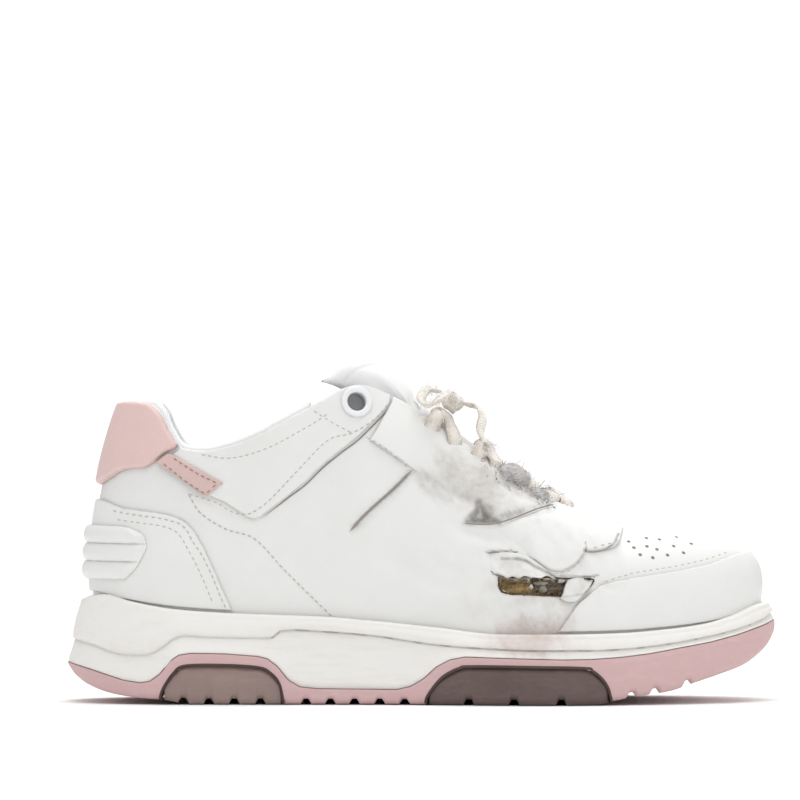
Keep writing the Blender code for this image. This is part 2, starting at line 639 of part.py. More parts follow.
def eyelet_spot(side):
    """Centre and outward normal of the top eyelet, found on the upper from its side-view place."""
    ways = np.linspace(0.40, 0.50, 60)
    heights = np.linspace(0.7, 0.999, 60)
    way, height = np.meshgrid(side * ways, heights)
    points = last_point(way, height)
    target = np.array([EYELET_PLACE[0] * LENGTH, EYELET_PLACE[1] * UPPER_HEIGHT])
    off = np.hypot(points[..., 0] - target[0], points[..., 2] - target[1])
    best = np.unravel_index(off.argmin(), off.shape)
    normal = last_normal(way[best], height[best])
    return Vector(points[best]), Vector(normal)


def turned(name, profile, centre, axis, finish):
    """A turned piece: a closed (radius, height) profile spun round an axis through centre."""
    mesh = bpy.data.meshes.new(name)
    count = len(profile)
    mesh.from_pydata([(r, 0, h) for r, h in profile], [(i, (i + 1) % count) for i in range(count)], [])
    made = put_in(bpy.data.objects.new(name, mesh), finish)
    aim(made, centre, axis)
    spin = made.modifiers.new("spin", "SCREW")
    spin.steps = EYELET_SIDES
    spin.render_steps = EYELET_SIDES
    spin.use_merge_vertices = True
    spin.merge_threshold = 0.00001
    return made


def aim(made, centre, axis):
    """Puts an object on centre with its Z along axis."""
    made.location = ORIGIN + centre
    made.rotation_euler = axis.to_track_quat("Z", "Y").to_euler()


def drill(name, centre, axis, radius, reach):
    """A round cutter through the wall."""
    work = bmesh.new()
    bmesh.ops.create_cone(
        work, cap_ends=True, segments=EYELET_SIDES, radius1=radius, radius2=radius, depth=2 * reach)
    mesh = bpy.data.meshes.new(name)
    work.to_mesh(mesh)
    work.free()
    made = put_in(bpy.data.objects.new(name, mesh), None, CUTTERS)
    aim(made, centre, axis)
    return made


def build_eyelet(name, side):
    """Ring on the collar panel, with a barrel through panel and wall."""
    centre, axis = eyelet_spot(side)
    seat = GAP + PANEL + GAP
    back = -WALL - 2 * GAP
    barrel = EYELET_BORE + EYELET_WALL
    crown = seat + EYELET_RISE
    profile = [
        (EYELET_FLANGE - EYELET_RISE / 2, crown), (EYELET_FLANGE, seat), (barrel, seat),
        (barrel, back), (EYELET_BORE, back), (EYELET_BORE, seat + EYELET_RISE / 2),
        (EYELET_BORE + EYELET_RISE / 2, crown),
    ]
    return turned(name, profile, centre, axis, WHITE_LEATHER)


THROAT_HALF = 0.5          # share of the width across the throat where the leather's edge lies
CROWN = 0.22               # how strongly the arch over the throat rises, share of its width
WING = 0.20                # how far down the section the tongue and lace reach under or over it


def across_throat(way, across):
    """A surface over the open throat. across runs from -1 (outer) to 1 (inner). Past the leather's
    edge it follows the upper; between the edges it is a cubic arch that leaves them smoothly."""
    way, across = np.broadcast_arrays(np.asarray(way, float), np.asarray(across, float))
    side = np.where(across < 0, -1.0, 1.0)
    beyond = np.clip((np.abs(across) - THROAT_HALF) / (1 - THROAT_HALF), 0, 1)
    wing = last_point(side * way, 1 - WING * beyond)
    ends = {}
    for s in (-1.0, 1.0):
        edge = last_point(s * way, np.ones_like(way))
        before = last_point(s * way, np.full_like(way, 0.97))
        run = edge - before
        ends[s] = edge, run / np.linalg.norm(run, axis=-1, keepdims=True)
    (left, left_run), (right, right_run) = ends[-1.0], ends[1.0]
    reach = CROWN * np.linalg.norm(right - left, axis=-1, keepdims=True)
    a, b = left + left_run * reach, right + right_run * reach
    t = np.clip((across / THROAT_HALF + 1) / 2, 0, 1)[..., None]
    arch = (1 - t)**3 * left + 3 * t * (1 - t)**2 * a + 3 * t * t * (1 - t) * b + t**3 * right
    return np.where((np.abs(across) < THROAT_HALF)[..., None], arch, wing)


def throat_normal(way, across):
    d = 2e-3
    along = across_throat(way + d, across) - across_throat(way - d, across)
    over = across_throat(way, across + d) - across_throat(way, across - d)
    normal = np.cross(along, over)
    normal /= np.linalg.norm(normal, axis=-1, keepdims=True)
    return np.where(normal[..., 2:] < 0, -normal, normal)


TONGUE_UNDER = WALL + 4 * GAP         # the wings lie this far under the upper's outside
TONGUE_RISE = 0.0006                  # the middle swells this far over the leather's edge line


def tongue_sheet():
    """Outer face of the tongue: a grid from the closed end of the throat to above the collar."""
    across = np.array([-0.9, -0.72, -0.54, -0.36, -0.18, 0, 0.18, 0.36, 0.54, 0.72, 0.9])
    ways = np.array([0.69, 0.672, 0.64, 0.605, 0.57, 0.535, 0.505])
    way, over = np.meshgrid(ways, across, indexing="ij")
    flat = across_throat(way, over)
    swell = np.clip(1 - (np.abs(over) / (THROAT_HALF * 0.78)) ** 2, 0, 1)
    swell = swell * np.clip((0.69 - way) / 0.03, 0, 1)
    lift = -TONGUE_UNDER + (TONGUE_RISE + TONGUE_UNDER) * swell
    rows = list(flat + throat_normal(way, over) * lift[..., None])
    start = rows[-1]
    share, rise = TONGUE_TOP
    top = np.stack([
        share * LENGTH - TONGUE_BACK * across**2, middle(share) + across * TONGUE_HALF,
        rise * UPPER_HEIGHT - TONGUE_DROP * np.abs(across) ** 3], -1)
    for u in (0.3, 0.6, 0.85, 1.0):
        swell = math.sin(math.pi * u) * TONGUE_PAD * 0.5
        rows.append(start + (top - start) * u + np.array([0.7, 0, 0.7]) * swell)
    return np.array(rows)


def build_tongue(upper):
    """Padded tongue. Where it leaves the throat its wings are drawn in under the collar's leather."""
    rows = tongue_sheet()
    tree = BVHTree.FromObject(upper, bpy.context.evaluated_depsgraph_get())
    clear = WALL
    for r in range(5, len(rows)):
        for c in range(rows.shape[1]):
            x, y, z = rows[r, c]
            way = Vector((0, 1 if y > middle(0.45) else -1, 0))
            for drop in TONGUE_FEELERS:
                start = Vector((x, middle(0.45), z - drop))
                spot, _, _, far = tree.ray_cast(start, way, BALL_WIDTH)
                if spot is not None and abs(rows[r, c, 1] - start.y) > far - clear:
                    rows[r, c, 1] = start.y + way.y * (far - clear)
    count, columns = rows.shape[:2]
    made = mesh_from("tongue", rows.reshape(-1, 3), grid_faces(count, columns), LINING,
                     closed=False)
    mesh = made.data
    if mesh.polygons[len(mesh.polygons) // 2].normal.z < 0:
        mesh.flip_normals()
    pad = made.modifiers.new("padding", "SOLIDIFY")
    pad.thickness = TONGUE_PAD
    pad.offset = -1
    return made


def build_collar_lining():
    """Padded roll inside the collar: one section carried round the heel from eyelet to eyelet."""
    reach = 0.405
    ways = np.array([-w for w in COLUMNS if 0 < w < reach][::-1] + [w for w in COLUMNS if w < reach])
    edge = last_point(ways, np.ones_like(ways))
    foot = last_point(ways, np.zeros_like(ways))
    length = np.linalg.norm(edge - foot, axis=-1)
    points = []
    for down, inward in COLLAR_SECTION:
        height = 1 - down * COLLAR_DEPTH / length
        depth = WALL + GAP + inward * COLLAR_PAD
        normal = last_normal(ways, np.minimum(height, 0.995))
        points += list(last_point(ways, height) - normal * depth)
    rows, columns = len(COLLAR_SECTION), len(ways)
    faces = grid_faces(rows, columns, wrap_rows=True)
    faces.append(tuple(r * columns for r in range(rows)))
    faces.append(tuple(r * columns + columns - 1 for r in range(rows)))
    return mesh_from("collar_lining", points, faces, LINING)


def build_heel_ribs():
    """Three padded ribs round the back of the counter, each a low arch in section."""
    base = SECOND_LAYER + 2 * GAP
    ways = np.linspace(-0.185, 0.185, 9)
    top, low = 0.5555 * UPPER_HEIGHT, 0.3885 * UPPER_HEIGHT
    per_rib = 4
    rise = np.array([0.05, 0.8, 1.0, 0.8])
    levels = np.linspace(low, top, 3 * per_rib + 1)
    swell = np.append(np.tile(rise, 3), 0.05)
    outer, inner = [], []
    for z, puff in zip(levels, swell):
        foot = last_point(ways, np.zeros_like(ways))
        edge = last_point(ways, np.ones_like(ways))
        height = (z - foot[:, 2]) / (edge[:, 2] - foot[:, 2])
        point, normal = last_point(ways, height), last_normal(ways, height)
        inner.append(point + normal * base)
        outer.append(point + normal * (base + PANEL * 0.5 + RIB_RISE * puff))
    rows, columns = len(levels), len(ways)
    points = np.concatenate([np.concatenate(outer), np.concatenate(inner)])
    size = rows * columns
    faces = grid_faces(rows, columns)
    faces += [tuple(size + i for i in reversed(quad)) for quad in grid_faces(rows, columns)]
    rim = [c for c in range(columns)]
    rim += [r * columns + columns - 1 for r in range(1, rows)]
    rim += [(rows - 1) * columns + c for c in range(columns - 2, -1, -1)]
    rim += [r * columns for r in range(rows - 2, 0, -1)]
    faces += [(a, b, size + b, size + a) for a, b in zip(rim, rim[1:] + rim[:1])]
    made = mesh_from("heel_ribs", points, faces, WHITE_LEATHER)
    return cut(made, side_prism("heel_ribs_outline", RIBS_OUTLINE), "INTERSECT")


LACE_LIFT = GAP + PANEL + 3 * GAP + LACE_THICKNESS / 2


def ribbon(name, ways, across, lift, collection=SNEAKER):
    """A flat lace laid over the throat along (way, across) points, its width square to its run."""
    centre = across_throat(ways, across)
    normal = throat_normal(ways, across)
    centre = centre + normal * np.asarray(lift)[..., None]
    run = np.gradient(centre, axis=0)
    run /= np.linalg.norm(run, axis=-1, keepdims=True)
    side = np.cross(normal, run)
    side /= np.linalg.norm(side, axis=-1, keepdims=True)
    w, t = LACE_WIDTH / 2, LACE_THICKNESS / 2
    corners = [(-w, -t), (w, -t), (w, t), (-w, t)]
    rows = [centre + side * a + normal * b for a, b in corners]
    count = len(ways)
    faces = grid_faces(4, count, wrap_rows=True)
    faces.append(tuple(r * count for r in range(4)))
    faces.append(tuple(r * count + count - 1 for r in range(4)))
    return mesh_from(name, np.concatenate(rows), faces, LACE, collection)


def build_lace_crossings():
    """Crossings of the flat lace: two ribbons from stay to stay, joined where they meet."""
    across = np.linspace(-0.78, 0.78, 7)
    share = (across / 0.78 + 1) / 2
    for k in range(CROSSINGS):
        up, down = LACE_ROWS[k], LACE_ROWS[k + 1]
        up_way, down_way = up + 0.010, down - 0.010
        going = up_way + (down_way - up_way) * share
        hump = 1 - np.clip(np.abs(across) / 0.3, 0, 1) ** 2
        lift = np.full(len(across), LACE_LIFT)
        under = ribbon(f"lace_cross_{k + 1}", going, across, lift)
        over = ribbon(f"lace_over_{k + 1}", going, -across, lift + 0.0005 * hump + 0.0001, CUTTERS)
        cut(under, over, "UNION")


# The bow's cords: points from the knot outwards, metres from the knot's middle
BOW_LOOP = [
    (0.0000, 0.0056, 0.0006), (-0.0008, 0.0115, 0.0028), (-0.0030, 0.0180, 0.0030),
    (-0.0068, 0.0232, 0.0006), (-0.0108, 0.0238, -0.0010), (-0.0128, 0.0195, 0.0018),
    (-0.0105, 0.0130, 0.0052), (-0.0062, 0.0068, 0.0046),
]
BOW_END = [
    (0.0048, 0.0022, -0.0004), (0.0098, 0.0080, -0.0018), (0.0118, 0.0150, -0.0060),
    (0.0108, 0.0205, -0.0112), (0.0128, 0.0245, -0.0165),
]


def knot_centre():
    way = (LACE_ROWS[0] + LACE_ROWS[1]) / 2
    point = across_throat(np.array(way), np.array(0.0))
    normal = throat_normal(np.array(way), np.array(0.0))
    rise = LACE_LIFT + LACE_THICKNESS / 2 + 3 * GAP + KNOT_RADIUS
    return Vector(point + normal * rise)


def smooth_route(points, count):
    """Points along a Catmull-Rom curve through a hand-chosen route."""
    points = np.array(points, float)
    padded = np.concatenate([[2 * points[0] - points[1]], points, [2 * points[-1] - points[-2]]])
    made = []
    for t in np.linspace(0, len(points) - 1, count):
        i = min(int(t), len(points) - 2)
        u = t - i
        a, b, c, d = padded[i:i + 4]
        made.append(0.5 * (2 * b + (c - a) * u + (2 * a - 5 * b + 4 * c - d) * u * u
                           + (3 * b - a - 3 * c + d) * u ** 3))
    return np.array(made)


def cord(name, route, count):
    """A round cord of BOW_CORD thickness along a smooth route."""
    data = bpy.data.curves.new(name, "CURVE")
    data.dimensions = "3D"
    line = data.splines.new("POLY")
    points = smooth_route(route, count)
    line.points.add(len(points) - 1)
    for spot, point in zip(line.points, points):
        spot.co = (*point, 1)
    data.bevel_depth = BOW_CORD / 2
    data.bevel_resolution = 2
    data.use_fill_caps = True
    return put_in(bpy.data.objects.new(name, data), LACE)


def build_bow():
    """Knot, two loops and two ends of the bow, tied over the second row of the lace."""
    centre = knot_centre()
    work = bmesh.new()
    bmesh.ops.create_uvsphere(work, u_segments=10, v_segments=6, radius=KNOT_RADIUS)
    bmesh.ops.scale(work, vec=(1, 1.12, 0.95), verts=work.verts)
    mesh = bpy.data.meshes.new("lace_knot")
    work.to_mesh(mesh)
    work.free()
    mesh.shade_smooth()
    knot = put_in(bpy.data.objects.new("lace_knot", mesh), LACE)
    knot.location += centre
    for side, word in ((-1, "lateral"), (1, "medial")):
        for kind, route, count in (("loop", BOW_LOOP, 13), ("end", BOW_END, 7)):
            placed = [centre + Vector((x, side * y, z)) for x, y, z in route]
            cord(f"lace_{kind}_{word}", placed, count)


def long_channels():
    """Cutters for the two long channels that run through the tread."""
    made = []
    for side in (-1, 1):
        cutter = bmesh.new()
        bmesh.ops.create_cube(cutter, size=1)
        size = Vector((LENGTH * 0.60, CHANNEL_WIDTH, CHANNEL_DEPTH * 2))
        for v in cutter.verts:
            v.co = Vector((v.co.x * size.x, v.co.y * size.y, v.co.z * size.z))
            v.co += Vector((LENGTH * 0.465, side * HEEL_WIDTH * 0.17, 0))
        mesh = bpy.data.meshes.new("channel")
        cutter.to_mesh(mesh)
        cutter.free()
        made.append(put_in(bpy.data.objects.new("channel", mesh), None, CUTTERS))
    return made


def build_upper():
    """White leather upper: one wall, open at collar, throat and underneath, with its tear."""
    upper = shell("upper", -WALL, 0.0, WHITE_LEATHER, skirt=True)
    cut(upper, side_prism("tear", TEAR_OUTLINE, sides=(-1,)), "DIFFERENCE")
    return upper


def build():
    """All the pieces, from the ground up."""
    for collection in (SNEAKER, CUTTERS):
        bpy.context.scene.collection.children.link(collection)
    build_outsole()
    treads = [
        build_tread("heel_tread", HEEL_ARCH, HEEL_GROOVES),
        build_tread("forefoot_tread", BALL_ARCH, BALL_GROOVES),
    ]
    for channel in long_channels():
        for piece in treads:
            cut(piece, channel, "DIFFERENCE")
    build_midsole()
    build_insole()
    upper = build_upper()
    overlay("heel_tab", TAB_OUTLINE, FIRST_LAYER, TAB_PAD, PINK_LEATHER)
    overlay("heel_counter", COUNTER_OUTLINE, FIRST_LAYER, PANEL, WHITE_LEATHER)
    overlay("toe_guard", TOE_GUARD_OUTLINE, FIRST_LAYER, PANEL, WHITE_LEATHER)
    overlay("throat_tab", THROAT_TAB_OUTLINE, FIRST_LAYER, PANEL, WHITE_LEATHER)
    build_heel_ribs()
    for side, word in ((-1, "lateral"), (1, "medial")):
        eyestay = overlay(f"eyestay_{word}", EYESTAY_OUTLINE, FIRST_LAYER, PANEL,
                          WHITE_LEATHER, (side,))
        panel = overlay(f"collar_panel_{word}", COLLAR_PANEL_OUTLINE, FIRST_LAYER, PANEL,
                        WHITE_LEATHER, (side,))
        overlay(f"heel_strap_{word}", STRAP_OUTLINE, SECOND_LAYER, PANEL, PINK_LEATHER, (side,))
        centre, axis = eyelet_spot(side)
        hole = drill(f"eyelet_hole_{word}", centre, axis, EYELET_BORE + EYELET_WALL + GAP * 1.5,
                     WALL * 3)
        for piece in (upper, panel, eyestay):
            cut(piece, hole, "DIFFERENCE")
        build_eyelet(f"eyelet_{word}", side)
    build_collar_lining()
    bpy.context.view_layer.update()
    build_tongue(upper)
    build_lace_crossings()
    build_bow()


for leftover in list(bpy.data.objects):
    bpy.data.objects.remove(leftover)
build()
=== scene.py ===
"""A worn low leather sneaker for the right foot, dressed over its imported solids.

Metres, +Z is up, +X points to the toe and -Y is the outer side. Shapes are worked out in the
heel's frame, with x from the back of the heel at the ground, and lay_down() moves them by ORIGIN,
so that each finished piece lies in the same place as its solid.
"""

import math

import bmesh
import bpy
import numpy as np
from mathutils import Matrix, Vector
from mathutils.bvhtree import BVHTree


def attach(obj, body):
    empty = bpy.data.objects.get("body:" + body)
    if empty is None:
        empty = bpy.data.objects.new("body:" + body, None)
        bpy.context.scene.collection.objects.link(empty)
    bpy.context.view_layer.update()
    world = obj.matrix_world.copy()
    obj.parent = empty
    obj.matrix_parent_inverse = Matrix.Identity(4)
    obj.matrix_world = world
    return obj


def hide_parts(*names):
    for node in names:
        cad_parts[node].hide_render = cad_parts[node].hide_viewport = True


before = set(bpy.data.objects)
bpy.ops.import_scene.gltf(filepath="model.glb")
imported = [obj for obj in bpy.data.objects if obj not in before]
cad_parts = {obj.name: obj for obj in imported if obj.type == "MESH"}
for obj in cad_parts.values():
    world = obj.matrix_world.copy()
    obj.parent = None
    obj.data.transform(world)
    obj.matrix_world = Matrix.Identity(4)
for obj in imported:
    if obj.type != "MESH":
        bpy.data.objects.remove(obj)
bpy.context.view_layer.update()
scene = bpy.context.scene
random = np.random.default_rng(7)

# Sizes of the shoe
LENGTH = 0.2830
BALL_WIDTH = 0.1050
HEEL_WIDTH = 0.0800
WAIST_WIDTH = 0.0790
SOLE_HEIGHT = 0.0430
UPPER_HEIGHT = 0.1260
TOE_SWING = 0.0110
WALL = 0.0022
PANEL = 0.0012
TAB_PAD = 0.0026
RIB_RISE = 0.0013
COLLAR_PAD = 0.0062
COLLAR_DEPTH = 0.0330
TONGUE_PAD = 0.0050
TONGUE_HALF = 0.0250
TONGUE_BACK = 0.0235
TONGUE_DROP = 0.0170
GAP = 0.0003
RIM_THICKNESS = 0.0038
STEP_RELIEF = 0.0005
GROUND_INSET = 0.0030
PAD_INSET = 0.0011
GROOVE_DEPTH = 0.0021
GROOVE_WIDTH = 0.0044
CHANNEL_WIDTH = 0.0034
CHANNEL_DEPTH = 0.0016
EYELET_BORE = 0.0038
EYELET_FLANGE = 0.0062
EYELET_WALL = 0.0006
EYELET_RISE = 0.0011
LACE_WIDTH = 0.0062
LACE_THICKNESS = 0.0013
BOW_CORD = 0.0036
KNOT_RADIUS = 0.0043
CROSSINGS = 4
LACE_DIP = 0.0046
LACE_HUMP = 0.0012
RIM_ROLL = 0.0016
RIM_REACH = 0.0013
FLUTE_DEPTH = 0.0006
FLUTE_WIDTH = 0.0012
THREAD_RADIUS = 0.00024
SOLE_THREAD_RADIUS = 0.00034
SIDES = ((-1, "lateral"), (1, "medial"))

# Side-view lines of the sole: (share of LENGTH, share of SOLE_HEIGHT)
GROUND_LINE = [
    (0, 0.34), (0.012, 0.223), (0.035, 0.14), (0.066, 0.084), (0.106, 0.052), (0.134, 0.041),
    (0.18, 0), (0.745, 0), (0.77, 0.035), (0.812, 0.081), (0.849, 0.115), (0.883, 0.183),
    (0.924, 0.265), (0.955, 0.333), (0.976, 0.416), (0.99, 0.498), (1, 0.6),
]
CUP_LINE = [
    (0, 0.363), (0.035, 0.307), (0.082, 0.214), (0.106, 0.191), (0.120, 0.2065), (0.134, 0.275),
    (0.1485, 0.39), (0.16, 0.4465), (0.177, 0.465), (0.2235, 0.46), (0.27, 0.437),
    (0.284, 0.414), (0.298, 0.344), (0.3126, 0.223), (0.329, 0.158), (0.355, 0.14),
    (0.465, 0.134), (0.484, 0.164), (0.502, 0.234), (0.52, 0.344), (0.539, 0.41),
    (0.56, 0.437), (0.607, 0.428), (0.696, 0.413), (0.737, 0.416), (0.779, 0.4335),
    (0.82, 0.465), (0.861, 0.512), (0.904, 0.558), (0.945, 0.623), (0.986, 0.707), (1, 0.744),
]
STEP_LINE = [
    (0, 0.577), (0.035, 0.53), (0.0594, 0.476), (0.082, 0.4465), (0.106, 0.4465),
    (0.122, 0.468), (0.1386, 0.53), (0.153, 0.6), (0.167, 0.626), (0.2, 0.614), (0.2885, 0.607),
    (0.303, 0.67), (0.321, 0.679), (0.361, 0.665), (0.423, 0.6326), (0.515, 0.549),
    (0.5686, 0.521), (0.6676, 0.498), (0.738, 0.498), (0.779, 0.507), (0.82, 0.53),
    (0.8536, 0.558), (0.888, 0.595), (0.919, 0.633), (0.949, 0.682), (0.9745, 0.735),
    (0.993, 0.79), (1, 0.82),
]
RIM_LINE = [
    (0, 0.95), (0.02, 0.985), (0.038, 1.0), (0.082, 0.94), (0.153, 0.87), (0.2235, 0.837),
    (0.294, 0.819), (0.355, 0.805), (0.423, 0.769), (0.515, 0.707), (0.607, 0.647),
    (0.7086, 0.647), (0.779, 0.655), (0.842, 0.682), (0.904, 0.729), (0.945, 0.797),
    (0.986, 0.893), (1, 0.91),
]
FLOOR_LINE = [
    (0, 0.72), (0.1, 0.71), (0.25, 0.68), (0.4, 0.61), (0.55, 0.54), (0.65, 0.525),
    (0.75, 0.53), (0.82, 0.56), (0.88, 0.60), (0.93, 0.66), (0.97, 0.72), (1, 0.79),
]
HEEL_ARCH = [
    (0.134, 0.041), (0.1386, 0.144), (0.153, 0.284), (0.169, 0.353), (0.2235, 0.36),
    (0.27, 0.34), (0.2865, 0.298), (0.3007, 0.19), (0.3072, 0.0),
]
BALL_ARCH = [
    (0.5047, 0.0), (0.508, 0.084), (0.527, 0.245), (0.551, 0.335), (0.5757, 0.355),
    (0.717, 0.343), (0.738, 0.31), (0.7567, 0.186), (0.7645, 0.026),
]
RIM_INSET = [(0, 0.125), (0.2, 0.085), (0.5, 0.072), (0.75, 0.056), (1, 0.05)]
HEEL_GROOVES = (0.167, 0.2023, 0.2377, 0.2744)
WAIST_GROOVES = (0.338, 0.372, 0.4056, 0.4403, 0.4745)
BALL_GROOVES = (0.5652, 0.628, 0.6938)
TOE_GROOVES = (0.794, 0.8274, 0.8733)

# The upper's edge: share of the way round, share of LENGTH, of BALL_WIDTH, of UPPER_HEIGHT
TOP_EDGE = [
    (0.00, 0.0795, 0.000, 0.941), (0.07, 0.0866, 0.086, 0.944), (0.12, 0.1007, 0.160, 0.945),
    (0.16, 0.1184, 0.208, 0.941), (0.19, 0.1345, 0.236, 0.909), (0.22, 0.1485, 0.257, 0.849),
    (0.25, 0.1661, 0.274, 0.802), (0.28, 0.1943, 0.288, 0.794), (0.315, 0.2297, 0.297, 0.809),
    (0.35, 0.2720, 0.297, 0.847), (0.385, 0.3180, 0.283, 0.903), (0.42, 0.3640, 0.254, 0.957),
    (0.445, 0.3922, 0.230, 0.992), (0.46, 0.4100, 0.212, 1.0), (0.485, 0.4594, 0.150, 0.960),
    (0.53, 0.5410, 0.138, 0.836), (0.58, 0.6080, 0.128, 0.738), (0.63, 0.6680, 0.120, 0.653),
    (0.665, 0.7080, 0.108, 0.605), (0.69, 0.7350, 0.080, 0.578), (0.705, 0.7491, 0.000, 0.568),
    (0.76, 0.7774, 0.000, 0.556), (0.82, 0.8127, 0.000, 0.542), (0.88, 0.8410, 0.000, 0.531),
    (0.94, 0.8622, 0.000, 0.5215), (1.00, 0.8799, 0.000, 0.5135),
]
DOMING = [(0, 0), (0.3, 0), (0.4, 0.12), (0.46, 0.3), (0.55, 0.55), (0.65, 0.82), (0.71, 1), (1, 1)]
BULGE = [(0, 0.0010), (0.2, 0.0006), (0.45, 0.0), (0.62, 0.0016), (0.75, 0.0022), (1, 0.0020)]
SQUARENESS = [(0, 2.0), (0.55, 2.0), (0.75, 2.35), (1, 2.6)]
COLLAR_SECTION = [
    (0.03, 0.0), (0.5, 0.0), (1.0, 0.0), (1.0, 0.22), (0.72, 0.75), (0.42, 1.0), (0.17, 1.0),
    (0.0, 0.86), (-0.06, 0.5), (-0.04, 0.12),
]
EYELET_PLACE = (0.4072, 0.9456)
TONGUE_TOP = (0.430, 1.085)
LACE_ROWS = (0.500, 0.542, 0.584, 0.626, 0.666)
THROAT_HALF = 0.5
CROWN = 0.22
WING = 0.20

# Outlines of the overlays from the side: (share of LENGTH, share of UPPER_HEIGHT), from the heel
TAB_LOW = [
    (0.0, 0.660), (0.0382, 0.667), (0.0510, 0.686), (0.0640, 0.705), (0.0796, 0.729),
    (0.0926, 0.7365), (0.1143, 0.739), (0.1273, 0.7587), (0.1400, 0.785), (0.1600, 0.806),
    (0.1630, 0.90),
]
COUNTER_HIGH = [
    (0.0, 0.638), (0.020, 0.638), (0.054, 0.6365), (0.0806, 0.613), (0.116, 0.603),
    (0.1443, 0.594), (0.168, 0.575), (0.1825, 0.54), (0.198, 0.476), (0.212, 0.406),
    (0.2263, 0.333), (0.2390, 0.270),
]
GUARD_HIGH = [
    (0.6888, 0.225), (0.7171, 0.3175), (0.7496, 0.3746), (0.7807, 0.3889), (0.8204, 0.4016),
    (0.86, 0.4143), (0.901, 0.4317), (0.932, 0.454), (0.962, 0.470), (1.04, 0.49),
]
STAY_LOW = [
    (0.4265, 0.827), (0.4866, 0.7365), (0.5262, 0.67), (0.5686, 0.594), (0.618, 0.505),
    (0.6535, 0.457), (0.679, 0.419), (0.696, 0.416), (0.7143, 0.438), (0.7284, 0.476),
    (0.7365, 0.568), (0.7400, 0.60),
]
STAY_HIGH = [(0.4265, 0.827), (0.4508, 0.922), (0.4598, 0.957), (0.4606, 1.03), (0.75, 1.03)]
FLAP_LOW = [(0.7318, 0.476), (0.7530, 0.480), (0.7694, 0.490), (0.7795, 0.512), (0.7836, 0.560)]
PANEL_LOW = [
    (0.1358, 0.754), (0.2000, 0.656), (0.2263, 0.63), (0.2518, 0.590), (0.2631, 0.578),
    (0.2744, 0.587), (0.3150, 0.657), (0.3352, 0.694), (0.3605, 0.748), (0.3857, 0.794),
    (0.4110, 0.839), (0.4475, 0.922), (0.4570, 0.958), (0.4580, 1.03),
]
PANEL_HIGH = [(0.1358, 0.754), (0.1440, 0.772), (0.1635, 0.802), (0.1700, 1.03), (0.46, 1.03)]
STRAP_LOW = [(0.1295, 0.7545), (0.1985, 0.6489), (0.2214, 0.6927)]
STRAP_HIGH = [(0.1295, 0.7545), (0.1418, 0.7795), (0.1490, 0.786), (0.2214, 0.6927)]
RIB_EDGE = [(0.387, 0.086), (0.423, 0.1013), (0.457, 0.110), (0.492, 0.1164), (0.521, 0.114),
            (0.549, 0.095), (0.5556, 0.080)]
TEAR_OUTLINE = [
    (0.607, 0.400), (0.618, 0.3985), (0.655, 0.401), (0.700, 0.395), (0.735, 0.393),
    (0.7378, 0.381), (0.727, 0.357), (0.712, 0.346), (0.690, 0.341), (0.655, 0.345),
    (0.618, 0.349), (0.6085, 0.366),
]

# Creases of the leather from the side, in mm: (points, depth, half width). Depth under 0 is a ridge.
CREASES_BOTH = [
    ([(197, 68), (204, 57), (206, 45), (203, 36)], 0.75, 1.9),
    ([(206, 66), (213, 54), (215, 43)], 0.55, 1.7),
    ([(201, 67), (208, 56), (210, 45)], -0.30, 1.6),
    ([(187, 70), (194, 60), (196, 50)], 0.60, 2.2),
    ([(216, 62), (222, 52), (223, 44)], 0.35, 1.5),
    ([(46, 80), (58, 71), (72, 67)], 0.40, 2.6),
    ([(84, 62), (97, 51), (110, 44), (128, 40)], 0.45, 3.6),
    ([(118, 66), (131, 56), (150, 47), (168, 42)], 0.60, 4.2),
    ([(66, 44), (76, 54), (90, 62)], 0.30, 3.2),
]
CREASES_OUTER = [
    ([(160.8, 72), (172, 72.5), (184, 75.5), (196.8, 78.8)], 1.20, 1.5),
    ([(137.6, 92.8), (146, 88), (160.8, 80), (166, 76)], 1.10, 1.6),
    ([(113.6, 69.2), (122, 77.2), (129.2, 83.6), (137.6, 92.8)], 0.75, 0.75),
    ([(112.4, 70.8), (120.6, 78.8), (127.8, 85.2)], -0.30, 1.0),
    ([(150, 73), (163, 66), (178, 63)], 0.70, 2.6),
    ([(152, 79), (166, 77.5), (180, 80)], -0.30, 1.8),
    ([(164, 62), (174, 55), (182, 53)], 0.55, 2.0),
    ([(208, 50), (214, 46), (222, 45)], 0.45, 1.6),
    ([(140, 62), (150, 54), (162, 51)], 0.45, 2.8),
]
CREASES_INNER = [
    ([(150, 73), (166, 66), (184, 64)], 0.60, 2.8),
    ([(166, 60), (178, 52), (192, 49)], 0.50, 2.4),
    ([(120, 76), (134, 68), (148, 64)], 0.40, 3.0),
]

# Smears from the side, in mm: (x, z, half length, half height, turn in degrees, strength). Most are dirt;
# the ovals at (166, 75.5) and (176, 75) are a painted fold shadow and the one at (120, 76) is painted seam
# shade.
SOIL_AND_SHADE = [
    (178.0, 89.5, 9, 6.5, -40, 1.00), (186.5, 84.0, 7, 4.5, -30, 0.95), (166.0, 75.5, 6.5, 4.2, 25, 0.95),
    (176.0, 75.0, 9, 2.2, 10, 0.80), (146.0, 86.0, 13, 5.0, -38, 0.55), (164.8, 84.0, 26, 12, -32, 0.50),
    (184.0, 60.0, 26, 16, 10, 0.26), (176.0, 38.0, 30, 7, -3, 0.30), (150.0, 62.0, 40, 16, 0, 0.16),
    (180.0, 52.5, 11, 4.0, -18, 0.45), (120.0, 76.0, 12, 5.0, 42, 0.22), (206.0, 66.0, 12, 8, -40, 0.22),
    (187.0, 32.0, 17, 6, 3, 0.42),
]
STAIN = [
    (158.0, 90.0, 16, 11, -25, 0.40), (180.0, 46.8, 17, 5.5, 2, 0.50), (178.0, 57.0, 9, 3.0, -20, 0.45),
    (186.0, 41.5, 16, 3.5, 0, 0.42), (209.0, 46.0, 8, 4, 10, 0.30), (150.0, 97.0, 8, 5, -20, 0.40),
]
